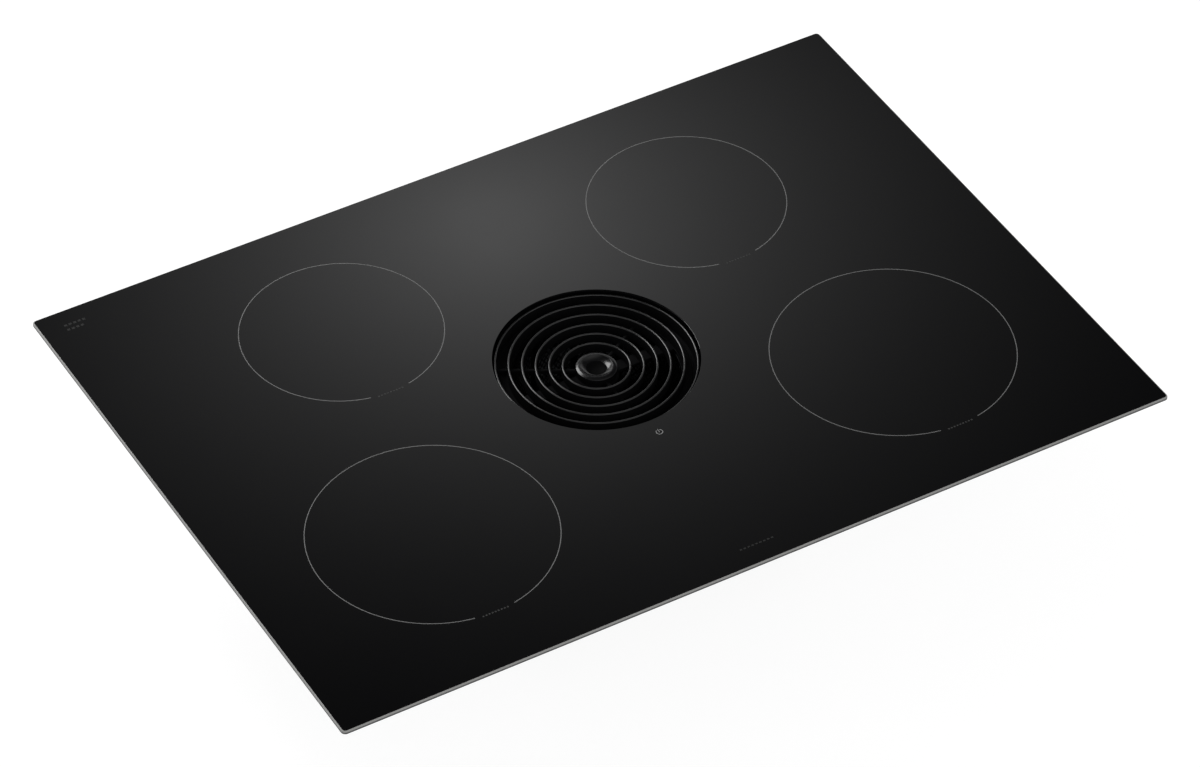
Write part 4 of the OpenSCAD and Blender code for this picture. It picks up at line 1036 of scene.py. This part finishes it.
# %% Model the drip tray
tray = cap_ends(turned("drip_tray_bowl", from_table([
    (3, 40.6), (4, 41), (10.2, 41), (10.8, 40.6), (11, 40), (11, 38.4), (10.6, 37.6),
    (6, 31.5), (6, 4), (8, 2), (66, 2), (69, 4), (72.7, 30.5), (73.4, 31.6), (74.2, 32),
    (76.4, 32), (77, 31.4), (77, 30.5), (76.5, 30), (74.8, 30), (71.6, 2), (69.6, 0),
    (3, 0)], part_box("drip_tray")[0].z), steps=FINE_STEPS, closed=False), MOULDED_DEGREES)
finish(tray, "dark_plastic", "tray", "drip_tray")

# %% [markdown]
# ## What holds the air box together
#
# Four snap latches hold the cover on the tub. Each is a strap across the two rims with a
# nose that grips below them and a lip for the finger. One could be boolean-cut from a
# block, but three small bars that overlap look the same and stay clean. One latch is made
# for the right side, and its copies are moved or turned to the other places.

# %% Latches
LATCH_HALF_W = 8 * MM
LATCH_Y = (-51 * MM, 117 * MM)

cover_low, cover_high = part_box("airbox_cover")


def latch(x, foot, top):
    """A snap latch on the right side of the air box, at x, below and above its rims."""
    strap = block("latch", (x, -LATCH_HALF_W, foot - 6 * MM),
                  (x + 2.2 * MM, LATCH_HALF_W, top), 0.5 * MM)
    nose = block("latch_nose", (x - 4.5 * MM, 1 * MM - LATCH_HALF_W, foot - 2.4 * MM),
                 (x + 0.5 * MM, LATCH_HALF_W - 1 * MM, foot - 0.1 * MM), 0.4 * MM)
    lip = block("latch_lip", (x + 1 * MM, -LATCH_HALF_W, foot - 6 * MM),
                (x + 5 * MM, LATCH_HALF_W, foot - 4 * MM), 0.7 * MM)
    return joined("latch", [strap, nose, lip])


one_latch = latch(cover_high.x, cover_low.z - 5 * MM, cover_high.z - 0.4 * MM)
latches = [copied(one_latch, move=(0, y, 0), turn_z=turn)
           for y in LATCH_Y for turn in (0, math.pi)]
bpy.data.objects.remove(one_latch)
finish(joined("airbox_latches", latches), "airbox_plastic", "cooktop")

# %% [markdown]
# On the duct spigot two ridges seal against the duct. Such a ridge is a bar bent round a
# rectangle. Here it starts as a thin block, whose two large faces are inset and then
# bridged, which opens it into a frame with its corners already closed.

# %% Sealing ridges
DUCT_W = 222 * MM
DUCT_H = 89 * MM
RIDGE_H = 1.2 * MM
RIDGE_HALF_T = 0.9 * MM
RIDGE_STEP = 5 * MM  # from the mouth to the first ridge, and on to the second

collar_low, collar_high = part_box("outlet_collar")
duct_z = (collar_low.z + collar_high.z) / 2
ridge_y = collar_high.y - RIDGE_STEP
ridge_x = DUCT_W / 2 + RIDGE_H
ridge_z = DUCT_H / 2 + RIDGE_H

ridge = block("ridge", (-ridge_x, ridge_y - RIDGE_HALF_T, duct_z - ridge_z),
              (ridge_x, ridge_y + RIDGE_HALF_T, duct_z + ridge_z), 0.4 * MM)
edit(ridge)
pick(ridge, "faces", lambda f: abs(f.normal.y) > FLAT)
bpy.ops.mesh.inset(thickness=1.4 * MM, use_individual=True)
bpy.ops.mesh.bridge_edge_loops()
close_edit()
ridges = [ridge, copied(ridge, move=(0, -RIDGE_STEP, 0))]
finish(joined("spigot_ridges", ridges), "airbox_plastic", "cooktop")

# %% [markdown]
# ## Sheet metal seams
#
# The pan is folded from one sheet. At each corner a tab of one wall is riveted over the
# next. The seams could be welded smooth, but a pan of thin zinc sheet is riveted. The
# rivet is a small dome, turned from its outline. One tab with its two rivets is made, and
# the copies are moved or turned to the other corners.

# %% Pan corners
PAN_SLOPE = 26 * MM
TAB_W = 14 * MM
TAB_T = 0.8 * MM
TAB_IN = 0.6 * MM

pan_low, pan_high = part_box("burner_pan")


def dome_head(name, outline, up):
    """A small turned head, laid with its axis along a direction."""
    head = cap_ends(
        turned(name, from_table(outline), steps=24, closed=False), MOULDED_DEGREES)
    head.rotation_euler = Vector(up).to_track_quat("Z", "Y").to_euler()
    settle(head)
    return head


tab_x = pan_high.x - TAB_IN - TAB_W / 2
tab_y = pan_high.y + TAB_T
wall_z = pan_low.z + PAN_SLOPE
tab = block("pan_tab", (tab_x - TAB_W / 2, pan_high.y, wall_z + 1.5 * MM),
            (tab_x + TAB_W / 2, tab_y, pan_high.z - 2.5 * MM), 0.25 * MM)
rivet = dome_head("rivet", [(0.4, 0.9), (1.2, 0.75), (1.8, 0.35), (2, 0)], (0, 1, 0))
rivets = [copied(rivet, move=(tab_x, tab_y, wall_z + z * MM)) for z in (5.5, 12.5)]
bpy.data.objects.remove(rivet)
corner = joined("pan_corner_tabs", [tab, *rivets])
corners = [corner, copied(corner, move=(-2 * tab_x, 0, 0)), copied(corner, turn_z=math.pi),
           copied(corner, move=(2 * tab_x, 0, 0), turn_z=math.pi)]
finish(joined("pan_corner_tabs", corners), "galvanised_sheet", "cooktop")

# %% [markdown]
# ## Small fasteners
#
# The two covers below the pan are held by small pan head screws. Their recess could be a
# cross, but at this size a round step down in the middle of the same outline is what
# shows. One head is turned and copied to four places on each cover.

# %% Cover screws
SCREW_IN = 9 * MM
SCREW_IN_RIGHT = 16 * MM
COVER_D = 68 * MM  # no screw lies further to the rear than this from a cover's front

head = dome_head("cover_screw", [
    (1.2, 0.9), (1.3, 1.7), (2.4, 1.7), (3.2, 1.2), (3.5, 0.3), (3.5, 0)], (0, 0, -1))
heads = []
for cover in ("terminal_cover", "blower_control_box"):
    low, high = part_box(cover)
    for x in (low.x + SCREW_IN, high.x - SCREW_IN_RIGHT):
        for y in (low.y + SCREW_IN, min(high.y, low.y + COVER_D) - SCREW_IN):
            heads.append(copied(head, move=(x, y, low.z)))
bpy.data.objects.remove(head)
finish(joined("cover_screws", heads), "plated_steel", "cooktop")

# %% [markdown]
# The cable gland is a nut that squeezes a rubber bush round the supply cable. The nut is
# a six sided turned piece, since six steps make a hexagon, and the cap in front of it has
# grip ribs copied round its axis. No cable is fitted.

# %% Model the cable gland
GRIP_COUNT = 20

gland_low, gland_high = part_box("cable_gland")
gland_parts = [
    turned("gland_nut", from_table([
        (6.5, 0), (9.2, 0), (9.8, 0.6), (9.8, 3.4), (9.2, 4), (6.5, 4)]), steps=6),
    turned("gland_neck", from_table([
        (6.5, -8), (7.7, -8), (8, -7.7), (8, 6.2), (7.6, 7.3), (6.9, 8), (6.5, 8)]),
           steps=48),
    turned("gland_flange", from_table([
        (6.5, -4.8), (9.6, -4.8), (9.6, -1.8), (6.5, -1.8)]), steps=48),
    turned("gland_bush", from_table([
        (4.2, 3), (6.6, 3), (6.6, 7.4), (5.2, 7.4), (4.2, 6.6)]), steps=48),
]
grip = block("gland_grip", (7.7 * MM, -0.5 * MM, 4.2 * MM), (8.5 * MM, 0.5 * MM, 6.4 * MM),
             0.2 * MM)
for i in range(GRIP_COUNT):
    gland_parts.append(copied(grip, turn_z=2 * math.pi * i / GRIP_COUNT))
bpy.data.objects.remove(grip)
gland = joined("cable_gland_assembly", gland_parts)
gland.rotation_euler = Vector((0, 1, 0)).to_track_quat("Z", "Y").to_euler()
gland.location = (gland_low + gland_high) / 2
settle(gland)
finish(gland, "gloss_black", "cooktop", "cable_gland")

# %% [markdown]
# ## The floor
#
# The floor is white and matte. A lit white floor is never an even white in a render, and
# more light would spoil the cooktop. So to the camera the floor also glows at the level
# of white, mixed with a little of its own shading, and the shadow stays as a pale grey.

# %% Floor
FLOOR_SIZE = 60.0
WHITE = (1, 1, 1, 1)
FLOOR_GLOW = 1.14
GLOW_SHARE = 0.8

clear_selection()
bpy.ops.mesh.primitive_plane_add(size=FLOOR_SIZE, location=(0, 0, 0))
floor = bpy.context.object
floor.name = "studio_floor"
floor_material = bpy.data.materials.new("matte_white_floor")
floor_material.use_nodes = True
tree = floor_material.node_tree
tree.nodes.clear()
seen = add_node(tree, "ShaderNodeLightPath").outputs["Is Camera Ray"]
shade = add_node(tree, "ShaderNodeBsdfDiffuse", {"Color": (0.9, 0.9, 0.9, 1)}).outputs[0]
glow = add_node(tree, "ShaderNodeEmission", {
    "Color": WHITE, "Strength": FLOOR_GLOW}).outputs[0]
mostly_glow = add_node(tree, "ShaderNodeMixShader", {
    "Fac": GLOW_SHARE, 1: shade, 2: glow}).outputs[0]
shown = add_node(tree, "ShaderNodeMixShader", {
    "Fac": seen, 1: shade, 2: mostly_glow}).outputs[0]
add_node(tree, "ShaderNodeOutputMaterial", {"Surface": shown})
floor.data.materials.append(floor_material)
print("floor", FLOOR_SIZE, "m wide")

# %% [markdown]
# ## The world
#
# The world is white to the camera too. Metal and glass see a white backdrop low down and
# a dark ceiling above it, as in a studio. The dark ceiling is what keeps black glass
# black. Only the wall behind the camera is dimly lit, and it lines the grille with grey.
# Everything else is lit by an even half of white.

# %% World
CEILING = {"From Min": 0.1, "From Max": 0.5, "To Min": 1.0, "To Max": 0.0}
FRONT_WALL = {"From Min": -0.6, "From Max": 0.0, "To Min": 0.6, "To Max": 0.0}
AMBIENT = 0.5

world = bpy.data.worlds.new("studio_world")
bpy.context.scene.world = world
world.use_nodes = True
tree = world.node_tree
tree.nodes.clear()
path = add_node(tree, "ShaderNodeLightPath")
direction = add_node(tree, "ShaderNodeTexCoord").outputs["Generated"]
towards = add_node(tree, "ShaderNodeSeparateXYZ", {"Vector": direction}).outputs
ceiling = add_node(tree, "ShaderNodeMapRange", {"Value": towards["Z"], **CEILING},
                   interpolation_type="SMOOTHSTEP").outputs["Result"]
front_wall = add_node(tree, "ShaderNodeMapRange", {"Value": towards["Y"], **FRONT_WALL},
                      interpolation_type="SMOOTHSTEP").outputs["Result"]
room = add_node(tree, "ShaderNodeMath", {0: ceiling, 1: front_wall},
                operation="MAXIMUM").outputs[0]
soft_light, mirrored, backdrop = [
    add_node(tree, "ShaderNodeBackground", {"Color": WHITE, "Strength": level}).outputs[0]
    for level in (AMBIENT, room, 1.0)]
in_gloss = add_node(tree, "ShaderNodeMixShader", {
    "Fac": path.outputs["Is Glossy Ray"], 1: soft_light, 2: mirrored}).outputs[0]
in_view = add_node(tree, "ShaderNodeMixShader", {
    "Fac": path.outputs["Is Camera Ray"], 1: in_gloss, 2: backdrop}).outputs[0]
add_node(tree, "ShaderNodeOutputWorld", {"Surface": in_view})
print("world nodes:", len(tree.nodes))

# %% [markdown]
# ## Light
#
# A large soft box behind on the left gives the light its direction: it brightens the left
# edge of the glass, lines the rings and puts the highlights on the hub. A wide, weaker
# one fills in from the front and stays out of all mirrors. Their strengths are chosen so
# that a white card lying on the plate would just reach white.

# %% Lamps


def soft_box(name, place, width, depth, watts, mirrored):
    """A rectangular lamp that looks at the middle of the plate."""
    lamp = bpy.data.lights.new(name, "AREA")
    lamp.shape = "RECTANGLE"
    lamp.size = width
    lamp.size_y = depth
    lamp.energy = watts
    holder = bpy.data.objects.new(name, lamp)
    bpy.context.scene.collection.objects.link(holder)
    holder.location = place
    aim = Vector((0, 0, glass_face)) - Vector(place)
    holder.rotation_euler = aim.to_track_quat("-Z", "Y").to_euler()
    holder.visible_glossy = mirrored
    print(name, watts, "W")


soft_box("soft_box_left", (-0.52, 1.86, 1.88), 1.1, 1.3, 36, True)
soft_box("soft_box_front", (-0.6, -2.6, 2.6), 2.0, 1.4, 20, False)

# %% [markdown]
# ## The glow in the glass
#
# Black glass shows only what it mirrors. Seen from the camera it mirrors a soft bright
# cloud behind the plate, strongest left of the middle. A translucent panel with a lamp
# behind it gives such a cloud. It is drawn as a backdrop card that fades out towards its
# rim, which only shiny surfaces see.

# %% Glow card
CARD_SIZE = 3.4
CARD_PLACE = (0.957, 1.918, 1.910)
CARD_FACING = (0.365, 0.667, 0.65)
CLOUD_WIDTH = 0.331
CLOUD_HEIGHT = 0.229
CLOUD_FALL = 1.2  # 2 fades like a bell, and 1 to a point
CLOUD_LEVEL = 1.3

clear_selection()
bpy.ops.mesh.primitive_plane_add(size=CARD_SIZE, location=CARD_PLACE)
card = bpy.context.object
card.name = "glow_card"
card.rotation_euler = Vector(CARD_FACING).to_track_quat("Z", "Y").to_euler()
card_material, tree, place = new_material("translucent_panel")
oval = add_node(tree, "ShaderNodeMapping", {
    "Vector": place, "Scale": (1 / CLOUD_WIDTH, 1 / CLOUD_HEIGHT, 0)}).outputs["Vector"]
away = add_node(tree, "ShaderNodeVectorMath", {0: oval},
                operation="LENGTH").outputs["Value"]
fall = add_node(tree, "ShaderNodeMath", {0: away, 1: CLOUD_FALL},
                operation="POWER").outputs[0]
share = add_node(tree, "ShaderNodeMath", {0: math.exp(-1), 1: fall},
                 operation="POWER").outputs[0]
level = add_node(tree, "ShaderNodeMath", {0: share, 1: CLOUD_LEVEL},
                 operation="MULTIPLY").outputs[0]
glow = add_node(tree, "ShaderNodeEmission", {"Strength": level}).outputs[0]
clear = add_node(tree, "ShaderNodeBsdfTransparent").outputs[0]
both = add_node(tree, "ShaderNodeAddShader", {0: glow, 1: clear}).outputs[0]
add_node(tree, "ShaderNodeOutputMaterial", {"Surface": both})
card.data.materials.append(card_material)
card.visible_camera = False
card.visible_diffuse = False
card.visible_shadow = False
card.visible_transmission = False
print("glow card", CARD_SIZE, "m wide")
